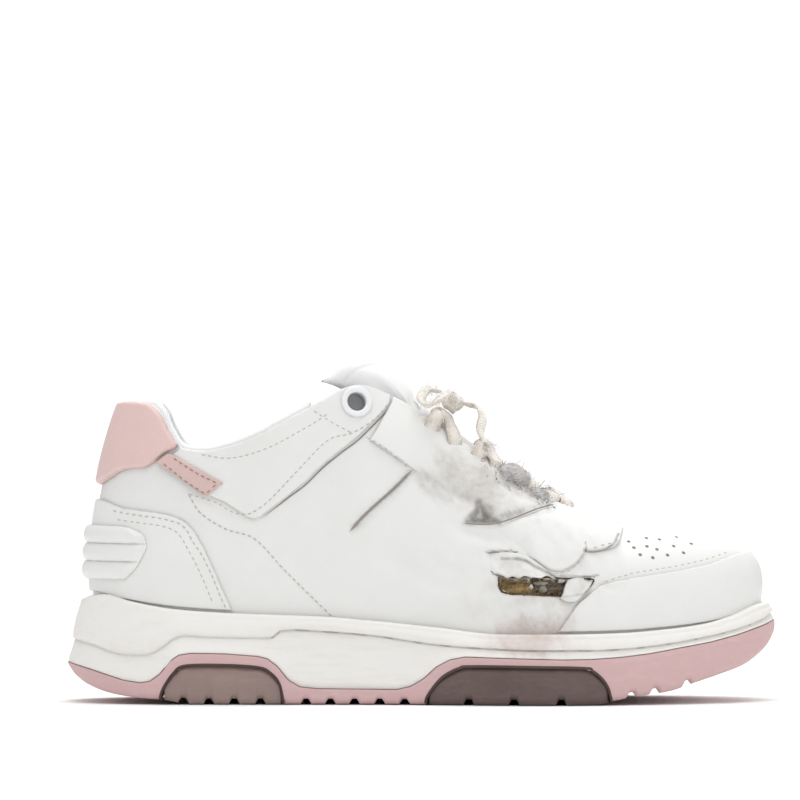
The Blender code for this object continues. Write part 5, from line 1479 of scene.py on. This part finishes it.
def make_collar():
    """The padded collar: a smooth closed section carried from eyelet to eyelet, its ends drawn in."""
    ends = 0.405
    ways = np.concatenate([np.linspace(-ends, -0.02, 90), np.linspace(-0.015, 0.015, 7),
                           np.linspace(0.02, ends, 90)])
    edge, foot = last_point(ways, np.ones_like(ways)), last_point(ways, np.zeros_like(ways))
    length = np.linalg.norm(edge - foot, axis=-1)
    table = smooth_route(COLLAR_SECTION + COLLAR_SECTION[:1], 45)[:-1]
    closing = np.clip(np.minimum(ways + ends, ends - ways) / 0.012, 0, 1) ** 0.5
    rows = []
    for down, inward in table:
        height = 1 - down * COLLAR_DEPTH / length
        puff = inward * COLLAR_PAD * (0.35 + 0.65 * closing)
        normal = last_normal(ways, np.minimum(height, 0.995))
        rows.append(last_point(ways, height) - normal * (WALL + GAP + puff)[..., None])
    rows = np.array(rows)
    points = rows.reshape(-1, 3)
    faces = sleeve_faces(*rows.shape[:2])
    made = lay_down("padded_collar", points, faces, LINING, ("collar_lining",),
                    dirt_and_shade_marks(points))


make_collar()


def finer(grid, rows, columns):
    """A grid of points made finer by Catmull-Rom curves along its rows, then its columns."""
    wide = np.stack([smooth_route(row, columns) for row in grid])
    return np.stack([smooth_route(wide[:, c], rows) for c in range(columns)], 1)


def make_tongue():
    """The padded tongue: the sheet of its solid made finer, its two faces apart by a pad that
    closes as a quarter circle at the border, with a shallow sewn channel across its top."""
    across = np.array([-0.9, -0.72, -0.54, -0.36, -0.18, 0, 0.18, 0.36, 0.54, 0.72, 0.9])
    ways = np.array([0.700, 0.684, 0.65, 0.61, 0.57, 0.535, 0.505])
    way, over = np.meshgrid(ways, across, indexing="ij")
    under = WALL + 4 * GAP
    swell = np.clip(1 - (np.abs(over) / (THROAT_HALF * 0.78)) ** 2, 0, 1)
    swell = swell * np.clip((0.700 - way) / 0.016, 0, 1)
    lift = -under + (0.0006 + under) * swell
    rows = list(across_throat(way, over) + throat_normal(way, over) * lift[..., None])
    start = rows[-1]
    share, rise = TONGUE_TOP
    top = np.stack([
        share * LENGTH - TONGUE_BACK * across**2, middle(share) + across * TONGUE_HALF,
        rise * UPPER_HEIGHT - TONGUE_DROP * np.abs(across) ** 6], -1)
    for u in (0.3, 0.6, 0.85, 1.0):
        swell = math.sin(math.pi * u) * TONGUE_PAD * 0.5
        rows.append(start + (top - start) * u + np.array([0.7, 0, 0.7]) * swell)
    rows = np.array(rows)
    solid = bmesh.new()
    solid.from_mesh(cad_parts["upper"].data)
    tree = BVHTree.FromBMesh(solid)
    solid.free()
    for r in range(5, len(rows)):
        for c in range(rows.shape[1]):
            x, y, z = rows[r, c]
            aside = Vector((0, 1 if y > middle(0.45) else -1, 0))
            for drop in (0, 0.002, 0.004, 0.007):
                begin_at = Vector((x, float(middle(0.45)), z - drop)) + Vector(ORIGIN)
                spot, _, _, far = tree.ray_cast(begin_at, aside, BALL_WIDTH)
                if spot is not None and abs(rows[r, c, 1] - middle(0.45)) > far - WALL * 1.3:
                    rows[r, c, 1] = middle(0.45) + aside.y * (far - WALL * 1.3)
    sheet = finer(rows, 96, 84)
    normal = unit(np.cross(np.gradient(sheet, axis=0), np.gradient(sheet, axis=1)))
    if normal[40, 42, 2] < 0:
        normal = -normal
    off = off_route(sheet.reshape(-1, 3), border(sheet)).reshape(sheet.shape[:2])
    near = np.clip(off / (TONGUE_PAD * 0.6), 0, 1)
    full = np.sqrt(np.clip(1 - (1 - near)**2, 0, 1))
    along = np.linspace(0, 1, 96)[:, None]
    channel = np.exp(-((along - 0.905) / 0.006) ** 2)
    outer = sheet - normal * (TONGUE_PAD * 0.5 * (1 - full) + 0.0005 * channel * (near >= 1))[..., None]
    inner = sheet - normal * (TONGUE_PAD * 0.5 * (1 + full))[..., None]
    points, faces = two_faced(outer, inner)
    made = lay_down("padded_tongue", points, faces, LINING, ("tongue",), dirt_and_shade_marks(points))


make_tongue()


def make_laces():
    """The crossings: flat woven bands over the throat. Each runs from stay to stay, the second
    passes over the first in a low hump, and both ends dip into their holes."""
    across = np.linspace(-0.78, 0.78, 61)
    share = (across / 0.78 + 1) / 2
    section = oval(LACE_WIDTH, LACE_THICKNESS * 0.8, 18, 3.6)
    for k in range(CROSSINGS):
        up_way, down_way = LACE_ROWS[k] + 0.010, LACE_ROWS[k + 1] - 0.010
        ways = up_way + (down_way - up_way) * share
        bands = []
        dip = LACE_DIP * np.clip((np.abs(across) - 0.64) / 0.14, 0, 1) ** 1.4
        hump = np.exp(-(across / 0.17) ** 2)
        for sign, extra in ((1, -0.0001 * hump), (-1, LACE_HUMP * hump)):
            a = sign * across
            normal = throat_normal(ways, a)
            line = across_throat(ways, a) + normal * (LACE_LIFT + extra - dip)[:, None]
            bands.append(tube(line, normal, section))
        lay_joined(f"lace_band_{k + 1}", bands, LACE, (f"lace_cross_{k + 1}",))


make_laces()


def spun(profile, centre, axis, steps):
    """A closed (radius, height) profile spun round an axis through centre."""
    profile = np.array(profile)
    axis = unit(axis)
    first = unit(np.cross(axis, [0, 0, 1.0]))
    second = np.cross(axis, first)
    t = np.linspace(0, 2 * math.pi, steps, endpoint=False)
    round_it = np.cos(t)[:, None] * first + np.sin(t)[:, None] * second
    points = centre + profile[:, :1, None] * round_it[None] + profile[:, 1:, None] * axis
    return points.reshape(-1, 3), grid_faces(len(profile), steps, wrap_rows=True, wrap_columns=True)


def make_eyelets():
    """The two ringed top eyelets: a half-round ring with its barrel through the wall."""
    for side, word in SIDES:
        centre, axis = eyelet_place(side)
        seat, back = 2 * GAP + PANEL, -WALL - 2 * GAP
        wide = (EYELET_FLANGE + EYELET_BORE) / 2
        reach = (EYELET_FLANGE - EYELET_BORE) / 2
        ring = [(wide + reach * math.cos(a), seat + EYELET_RISE * 0.75 * math.sin(a) ** 0.5)
                for a in np.linspace(0.02, math.pi - 0.02, 15)]
        profile = ring + [(EYELET_BORE, back), (EYELET_BORE + EYELET_WALL, back),
                          (EYELET_BORE + EYELET_WALL, seat)]
        points, faces = spun(profile, centre, axis, 48)
        lay_down(f"ring_{word}", points, faces, RING, (f"eyelet_{word}",), dirt_and_shade_marks(points))


make_eyelets()


def make_eyelet_shade_dishes():
    """Painted shade behind each top eyelet, which closes it: a shallow dish of dark cloth spun round its
    axis.
    """
    for side, word in SIDES:
        centre, axis = eyelet_place(side)
        points, faces = spun(EYELET_SHADE_DISH, centre, axis, 32)
        lay_down(f"eyelet_shade_{word}", points, faces, PAINTED_SHADE_CLOTH)


make_eyelet_shade_dishes()


def along_route(table, pitch):
    """Points each pitch along a side-view route given in mm, in metres."""
    route = smooth_route(np.array(table, float) / 1000, 12 * len(table))
    run = run_along(route)
    count = max(2, int(run[-1] / pitch))
    t = (np.arange(count) + 0.5) * run[-1] / count
    return np.stack([np.interp(t, run, route[:, k]) for k in (0, 1)], -1)


def scattered(centres, runs, normals, shape, faces):
    """One small shape repeated: its (along, side, up) points turned to each place's directions."""
    runs = unit(runs)
    sides = unit(np.cross(normals, runs))
    ups = np.cross(runs, sides)
    turned = np.stack([runs, sides, ups], 1)
    points = centres[:, None] + np.einsum("kj,njc->nkc", shape, turned)
    all_faces = (np.asarray(faces)[None] + (np.arange(len(centres)) * len(shape))[:, None, None])
    return points.reshape(-1, 3), all_faces.reshape(-1, np.asarray(faces).shape[1])


def stitch_shape(length, thick):
    """A lozenge-ended thread: six-sided rings whose radius follows a half ellipse."""
    t = np.linspace(-1, 1, 5)
    a = np.linspace(0, 2 * math.pi, 6, endpoint=False)
    radius = np.sqrt(np.clip(1.04 - t**2, 0, 1)) * thick
    shape = np.stack([
        np.repeat(t * length / 2, 6), (radius[:, None] * np.cos(a)).reshape(-1),
        (radius[:, None] * np.sin(a)).reshape(-1) * 0.8], -1)
    return shape, grid_faces(5, 6, wrap_columns=True)


STITCH_LENGTH = 0.0017
STITCH_PITCH = 0.00245
SOLE_STITCH_LENGTH = 0.0062
SOLE_STITCH_PITCH = 0.0112
# Stitch rows from the side, in mm: (points, height over the last, sides)
OVER_ONE = FIRST_LAYER + PANEL + 0.00018
OVER_TWO = SECOND_LAYER + PANEL + 0.00018
STITCH_ROWS = [
    ([(19.4, 76), (26.2, 74.8), (31.1, 74.1), (36, 73.5), (39.6, 72.9), (45.8, 71), (48.8, 68),
      (50.7, 64.4), (54.4, 58.8), (58, 51.6), (61.6, 42.8), (64, 37.6)], OVER_ONE, (-1, 1)),
    ([(21, 72.6), (31.1, 71.2), (38.6, 70.2), (43.6, 68.4), (46.4, 65.6), (48.5, 61.8), (52, 55.4),
      (55.4, 48), (58.6, 40.2)], OVER_ONE, (-1, 1)),
    ([(212.8, 48), (222, 50.6), (232, 52.2), (243, 53.8), (254, 56), (262.8, 58.4)], OVER_ONE, (-1, 1)),
    ([(118.8, 105.4), (125, 101.6), (131, 97), (138, 91)], OVER_ONE, (-1, 1)),
    ([(139.6, 91.5), (149, 82.5), (160, 72.8), (172, 63), (183, 55.5), (192, 51.2), (199.4, 52.6),
      (204, 57), (206, 64)], OVER_ONE, (1,)),
    ([(193, 51.2), (199.4, 52.6), (204, 57), (206, 64)], OVER_ONE, (-1,)),
    ([(49, 83), (60, 79.5), (66, 76), (72.6, 75), (80.5, 80), (92, 92), (104, 104), (113.6, 106.8),
      (122, 112), (127.4, 118)], OVER_ONE, (-1, 1)),
    ([(54, 98.5), (66, 97.2), (80, 101), (96, 109.5), (104, 114.5)], OVER_ONE, (-1, 1)),
    ([(98, 116), (105, 111.5), (113.6, 106.8)], OVER_ONE, (-1, 1)),
    ([(39.5, 94.8), (48.6, 87.6), (56, 82.8)], OVER_TWO, (-1, 1)),
    ([(43.5, 97.0), (52.4, 91.2), (60.6, 87.2)], OVER_TWO, (-1, 1)),
    ([(56, 82.8), (58.4, 84.8), (60.6, 87.2)], OVER_TWO, (-1, 1)),
    ([(48.8, 83.2), (54, 75.2), (64, 69), (75.2, 65.2), (86, 54), (96, 44), (106, 34.4)],
     0.00016, (-1, 1)),
    ([(208.4, 61), (213, 62), (218, 63.4), (220, 67)], OVER_ONE, (-1, 1)),
]
HOLES = [
    (223.6, 64), (225.6, 61.6), (230.8, 65.2), (230.8, 62), (234.8, 60.8), (241.6, 62), (248.8, 62.8),
    (228, 58.8), (233, 57.6), (239, 58.6), (245.5, 59.4), (236, 64.6), (243, 65.4),
]
SMALL_HOLES = [(122.4, 119.2), (124, 120.4), (125, 118.4)]


def make_stitching():
    """Every stitch row on the leather, as short threads sunk at both ends. The pink straps are
    sewn with a darker thread."""
    shape, quads = stitch_shape(STITCH_LENGTH, THREAD_RADIUS)
    rows, strap_rows = [], []
    for table, lift, sides in STITCH_ROWS:
        for side in sides:
            way, height = on_last(along_route(table, STITCH_PITCH), side)
            spot, normal = skin(way, height)
            spot = spot + normal * lift
            made = scattered(spot, np.gradient(spot, axis=0), normal, shape, quads)
            (strap_rows if lift == OVER_TWO else rows).append(made)
    x = np.arange(0.083, 0.279, SOLE_STITCH_PITCH)
    long_shape, long_quads = stitch_shape(SOLE_STITCH_LENGTH, SOLE_THREAD_RADIUS)
    for side in (-1, 1):
        turns = side * np.arccos(1 - 2 * x / LENGTH)
        share = (step_line(x) - cup_line(x)) / (rim_line(x) - cup_line(x))
        flat = outline(turns, rim_inset(x) * share + STEP_RELIEF * 1.6 + 0.0004)
        spot = np.concatenate([flat, step_line(x)[:, None]], 1)
        ahead = outline(turns + side * 0.002, rim_inset(x) * share + 0.0012)
        run = np.concatenate([ahead - flat, (step_line(ahead[:, 0]) - step_line(x))[:, None]], 1)
        outward = np.stack([-run[:, 1] * side, run[:, 0] * side, 0 * x], -1)
        rows.append(scattered(spot, run, outward, long_shape, long_quads))
    lay_joined("stitching", rows, SHADED_THREAD)
    lay_joined("strap_stitching", strap_rows, BROWN_THREAD)


make_stitching()


def make_holes():
    """Punched holes in the toe box and beside the eyelets: small cups with a rolled lip, their dark colour
    painted shade inside the holes.
    """
    a = np.linspace(0, 2 * math.pi, 10, endpoint=False)
    rings = [(1.25, -0.05), (1.05, 0.14), (0.85, 0.06), (0.0, -0.02)]
    shape = np.concatenate([
        np.stack([r * np.cos(a), r * np.sin(a), np.full(10, h)], -1) for r, h in rings])
    quads = grid_faces(4, 10, wrap_columns=True)
    cups = []
    for table, size, lift in ((HOLES, 0.00062, 0.00006), (SMALL_HOLES, 0.00042, OVER_ONE - 0.00016)):
        for side in (-1, 1):
            way, height = on_last(np.array(table) / 1000, side)
            spot, normal = skin(way, height)
            run = np.cross(normal, [0, 0, 1.0])
            cups.append(scattered(spot + normal * lift, run, normal, shape * size, quads))
    lay_joined("painted_hole_shades", cups, HOLE_SHADE)


make_holes()


def make_tear():
    """What shows in the slit: pale backing at its left and brown lining at its right, two crumpled
    sheets behind the wall whose ends are ragged."""
    rows, columns = 40, 120
    z = np.linspace(0.333, 0.410, rows) * UPPER_HEIGHT
    for (name, first, last, depth), finish in zip(TEAR_SHEETS, (TORN, TORN_BROWN)):
        gx, gz = np.meshgrid(np.linspace(first, last, columns) * LENGTH, z)
        right = (gx - first * LENGTH) / ((last - first) * LENGTH)
        gx += 0.0022 * right * ripple(np.stack([0 * gz, 0 * gz, gz], -1), 0.0030, 33)
        way, height = on_last(np.stack([gx.reshape(-1), gz.reshape(-1)], -1), -1)
        point, normal = last_point(way, height), last_normal(way, height)
        crumple = 0.0006 * ripple(point, 0.006, 31) + 0.0004 * ripple(point, 0.0022, 32)
        outer = (point - normal * (WALL + depth - crumple)[:, None]).reshape(rows, columns, 3)
        inner = (point - normal * (WALL + depth + 0.0016)).reshape(rows, columns, 3)
        points, faces = two_faced(outer, inner)
        lay_down(name, points, faces, finish)


def torn_strip(edges, axis, size, seed):
    """The skin between two side-view routes, the lower one ragged along one axis: its points, its
    normals and each place's share of the way down."""
    rows, columns = 22, 90
    high, low = (smooth_route(edge, columns) for edge in edges)
    down = np.linspace(0, 1, rows)[:, None]
    flat = high[None] * (1 - down[..., None]) + low[None] * down[..., None]
    flat[..., axis] += down * ripple(flat, 0.004, seed) * size
    way, height = on_last(flat.reshape(-1, 2), -1)
    point, normal = (a.reshape(rows, columns, 3) for a in skin(way, height))
    return point, normal, down


def make_torn_flap():
    """The lifted strip above the slit: it curls off the skin by a power of the way down, and tapers
    flat towards both ends."""
    point, normal, down = torn_strip(STRIP_EDGES, 1, 0.0007, 41)
    ends = np.sin(np.linspace(0, math.pi, point.shape[1]))[None, :] ** 0.6
    curl = (0.0003 + 0.0021 * (down ** 1.7)) * (0.35 + 0.65 * ends)
    curl = curl * (1 + 0.18 * ripple(point, 0.007, 42))
    thick = 0.0008 * (1 - 0.6 * down)
    outer = point + normal * ((curl + thick) * ends - 0.0001 * (1 - ends))[..., None]
    inner = point + normal * ((curl - 0.0004) * ends - 0.0003 * (1 - ends))[..., None]
    points, faces = two_faced(outer, inner)
    marks = dirt_and_shade_marks(points)
    edge = np.tile((np.clip((down - 0.8) / 0.2, 0, 1) * np.ones_like(ends)).reshape(-1), 2)
    marks["edge"] = edge
    marks["stain"] = np.maximum(marks["stain"] * 0.7, edge * 0.5)
    lay_down("torn_flap", points, faces, WHITE, marks=marks)


def make_torn_scrap():
    """The scrap that hangs over the slit's right end: a thin sheet that stands off by a power of the way
    down, greyed all over, with painted shade along its border."""
    point, normal, down = torn_strip(SCRAP_EDGES, 0, 0.0006, 44)
    sag = -0.0002 + 0.0016 * down ** 1.4 + 0.00025 * ripple(point, 0.006, 45)
    outer, inner = point + normal * (sag + 0.0005)[..., None], point + normal * (sag - 0.0003)[..., None]
    points, faces = two_faced(outer, inner)
    marks = dirt_and_shade_marks(points)
    off = off_route(points, border(outer))
    marks["edge"] = np.clip(1 - off / 0.0012, 0, 1)
    # painted shade along the border, and the whole scrap greyed
    marks["line"] = np.maximum(marks["line"], 0.75 * np.clip(1 - off / 0.0006, 0, 1))
    marks["soil"] = np.maximum(marks["soil"], 0.38)
    lay_down("torn_scrap", points, faces, WHITE, marks=marks)


make_tear()
make_torn_flap()
make_torn_scrap()


def make_torn_bits():
    """The slit's frayed rim, a tube whose width wavers along the outline and whose dark colour is painted
    shade of the slit's depth, and three crumpled bits of leather caught in it: balls flattened against the
    backing, whose surface ripples."""
    way, height = on_last(smooth_route(slit_loop(), 240), -1)
    spot, normal = skin(way, height)
    waver = 0.55 + 0.45 * np.abs(ripple(spot, 0.0030, 61))
    points, faces, marks = tube(spot + normal * 0.00012, normal, oval(0.0011, 0.0004, 8, 2), waver)
    lay_down("torn_rim_shade", points, faces, RIM_SHADE, marks=marks, weld=0)
    ball = ball_points(20, 32)
    for index, (x, z, wide, tall) in enumerate(TORN_BITS):
        way, height = on_last([(x, z)], -1)
        middle = last_point(way, height)[0] - last_normal(way, height)[0] * (WALL + 0.0004)
        shape = middle + ball * [wide, 0.0012, tall]
        shape += ball * (0.00035 * ripple(shape, 0.0022, 62 + index))[..., None]
        marks = {"stain": np.full(shape.shape[:2], 0.3), "edge": 0.5 * np.abs(ripple(shape, 0.0016, 65))}
        lay_down(f"torn_bit_{index + 1}", shape, grid_faces(20, 32, wrap_columns=True),
                 CRUMPLED if index else WHITE, marks=marks)


make_torn_bits()


def make_seam_shade_gaps():
    """Painted shade along opened seams and fold edges: dark flat ovals carried along the skin, thin at both
    ends.
    """
    shade_strips = []
    for table, width, thick, lift, sides in SEAM_SHADE_GAPS:
        for side in sides:
            way, height = on_last(smooth_route(np.array(table) / 1000, 90), side)
            spot, normal = last_point(way, height), last_normal(way, height)
            spot = spot + normal * np.maximum(relief(spot, np.full(len(spot), side)), 0)[:, None]
            taper = np.clip(np.sin(np.linspace(0, math.pi, 90)) * 3, 0.12, 1)
            section = oval(width / 1000, thick / 1000, 8, 2)
            height = np.interp(np.linspace(0, 1, 90), [0, 0.4], lift) / 1000
            shade_strips.append(tube(spot + normal * height[:, None], normal, section, taper))
    lay_joined("open_seam_shades", shade_strips, SEAM_SHADE)


make_seam_shade_gaps()


def hairs(roots, aims, lengths, thick, bend, seed):
    """Loose fibres: three-sided tubes of six rings, each bent by a random amount that grows with
    the square of the way along it."""
    pick = np.random.default_rng(seed)
    count, rings = len(roots), 6
    t = np.linspace(0, 1, rings)
    aims = unit(aims)
    sway = pick.normal(size=(count, 3)) * bend
    wave = pick.normal(size=(count, 3)) * bend * 0.5
    line = (roots[:, None] + lengths[:, None, None] * (
        aims[:, None] * t[None, :, None] + sway[:, None] * t[None, :, None] ** 2
        + wave[:, None] * np.sin(3 * t)[None, :, None]))
    a = np.linspace(0, 2 * math.pi, 3, endpoint=False)
    first = unit(np.cross(aims, [0.31, 0.52, 0.79]))
    second = np.cross(aims, first)
    radius = thick * (1 - 0.6 * t)
    round_it = np.cos(a)[:, None, None] * first + np.sin(a)[:, None, None] * second
    points = line[:, :, None] + radius[None, :, None, None] * round_it.transpose(1, 0, 2)[:, None]
    faces = grid_faces(rings, 3, wrap_columns=True)
    every = faces[None] + (np.arange(count) * rings * 3)[:, None, None]
    return points.reshape(-1, 3), every.reshape(-1, 4)


def on_outer(table, spread_mm, count, seed):
    """Random places round side-view points in mm on the outer side, with their normals."""
    pick = np.random.default_rng(seed)
    table = np.array(table, float)
    spots = table[pick.integers(0, len(table), count)] + pick.normal(size=(count, 2)) * spread_mm
    way, height = on_last(spots / 1000, -1)
    return (*skin(way, height), pick)


def make_lump():
    """The grey matted lump over the throat's outer edge: two balls pressed flat, each swollen and
    pitted by ripples of three sizes, with their lower halves sunk into the stay."""
    ball = ball_points(70, 110)
    for index, (place, radii) in enumerate(LUMPS):
        way, height = on_last([place], -1)
        middle = last_point(way, height)[0] + last_normal(way, height)[0] * 0.0004
        shape = middle + ball * radii
        swell = 0.0011 * ripple(shape, 0.0060, 71 + index) + 0.0005 * ripple(shape, 0.0020, 73 + index)
        shape = shape + ball * (swell + 0.00022 * ripple(shape, 0.0008, 75 + index))[..., None]
        lay_down(f"matted_lump_{index + 1}", shape, grid_faces(70, 110, wrap_columns=True), FLUFF)


make_lump()


def make_fluff():
    """Matted fluff by the throat, frayed threads round the slit and at the ends of the lace."""
    mat = [(176, 92), (179, 90), (183, 87), (173, 94), (177, 88), (179, 93)]
    spot, normal, pick = on_outer(mat, (2.9, 2.2), 420, 51)
    aims = normal * 0.15 + pick.normal(size=spot.shape) * 0.6
    dark = hairs(spot + normal * 0.0017, aims, pick.uniform(0.0008, 0.0017, len(spot)), 0.00022, 1.2, 52)
    spot, normal, pick = on_outer([(188, 81), (191, 79), (186, 83)], (2.6, 1.8), 160, 53)
    aims = normal * 0.3 + pick.normal(size=spot.shape)
    thin = hairs(spot + normal * 0.0016, aims, pick.uniform(0.0008, 0.0015, len(spot)), 0.00020, 1.2, 54)
    lay_joined("matted_fluff", [dark, thin], FLUFF)
    slit = smooth_route(slit_loop() * 1000, 90)
    spot, normal, pick = on_outer(slit, (0.25, 0.25), 230, 55)
    inward = np.array([0.1900, 0, 0.0470]) - spot
    inward[:, 1] = 0
    aims = unit(inward) + pick.normal(size=spot.shape) * 0.5
    loose = hairs(spot - normal * 0.0006, aims, pick.uniform(0.001, 0.0034, len(spot)), 0.00012, 0.4, 56)
    lay_joined("torn_threads", [loose], TORN)
    centre = knot_middle()
    batches = []
    for side in (-1, 1):
        tip = centre + np.array(BOW_END[-1]) * [1, side, 1]
        aim = (np.array(BOW_END[-1]) - np.array(BOW_END[-2])) * [1, side, 1]
        root = tip + random.normal(size=(70, 3)) * 0.0009
        aims = unit(aim) + random.normal(size=(70, 3)) * 0.45
        batches.append(hairs(root, aims, random.uniform(0.002, 0.0052, 70), 0.00014, 0.4, 57 + side))
        loop = centre + smooth_route(BOW_LOOP, 120) * [1, side, 1]
        root = loop[random.integers(0, 120, 150)] + random.normal(size=(150, 3)) * 0.0009
        aims = random.normal(size=(150, 3))
        batches.append(hairs(root, aims, random.uniform(0.001, 0.0030, 150), 0.00010, 0.5, 60 + side))
    lay_joined("frayed_lace", batches, LACE)


make_fluff()

# The footbed keeps its solid
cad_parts["insole"].data.materials.clear()
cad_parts["insole"].data.materials.append(LINING)

# Floor, background and light
stuff, tree, shader = begin("floor", 0.9)
floor_noise = noise(tree, place_of(tree), 3.0, 2.0)
tone = blend_colour(tree, floor_noise, (0.93, 0.93, 0.93, 1), (0.95, 0.95, 0.95, 1))
tree.links.new(tone, shader.inputs["Base Color"])
floor_mesh = bpy.data.meshes.new("floor")
turns = np.linspace(0, 2 * math.pi, 160, endpoint=False)
disc = np.stack([1.5 * np.cos(turns), 1.5 * np.sin(turns), 0 * turns - 0.00025], -1)
floor_mesh.from_pydata(disc.tolist(), [], [tuple(range(160))])
floor_mesh.materials.append(stuff)
floor = bpy.data.objects.new("floor", floor_mesh)
scene.collection.objects.link(floor)

world = bpy.data.worlds.new("studio")
world.use_nodes = True
scene.world = world
sky = world.node_tree
seen = add(sky, "ShaderNodeBackground", None, {"Color": (1, 1, 1, 1), "Strength": 1.05})
given = add(sky, "ShaderNodeBackground", None, {"Color": (1, 1, 1, 1), "Strength": 0.56})
which = add(sky, "ShaderNodeMixShader", None, {
    0: add(sky, "ShaderNodeLightPath").outputs["Is Camera Ray"], 1: given.outputs[0], 2: seen.outputs[0]})
sky.links.new(which.outputs[0], sky.nodes["World Output"].inputs[0] if "World Output" in sky.nodes
              else sky.nodes.new("ShaderNodeOutputWorld").inputs[0])


def studio_light(name, place, size, power):
    """A soft square light aimed at the shoe."""
    data = bpy.data.lights.new(name, "AREA")
    data.shape = "SQUARE"
    data.size = size
    data.energy = power
    lamp = bpy.data.objects.new(name, data)
    lamp.location = place
    aim_at = Vector((0, 0, 0.05)) - Vector(place)
    lamp.rotation_euler = aim_at.to_track_quat("-Z", "Y").to_euler()
    scene.collection.objects.link(lamp)


studio_light("key", (-0.5, -1.3, 1.7), 1.0, 9)
studio_light("fill", (1.4, -1.0, 0.7), 1.2, 3)
studio_light("top", (0.1, 0.2, 1.9), 1.5, 24)
studio_light("back", (0.2, 1.5, 1.0), 1.2, 8)
scene.view_settings.view_transform = "Standard"
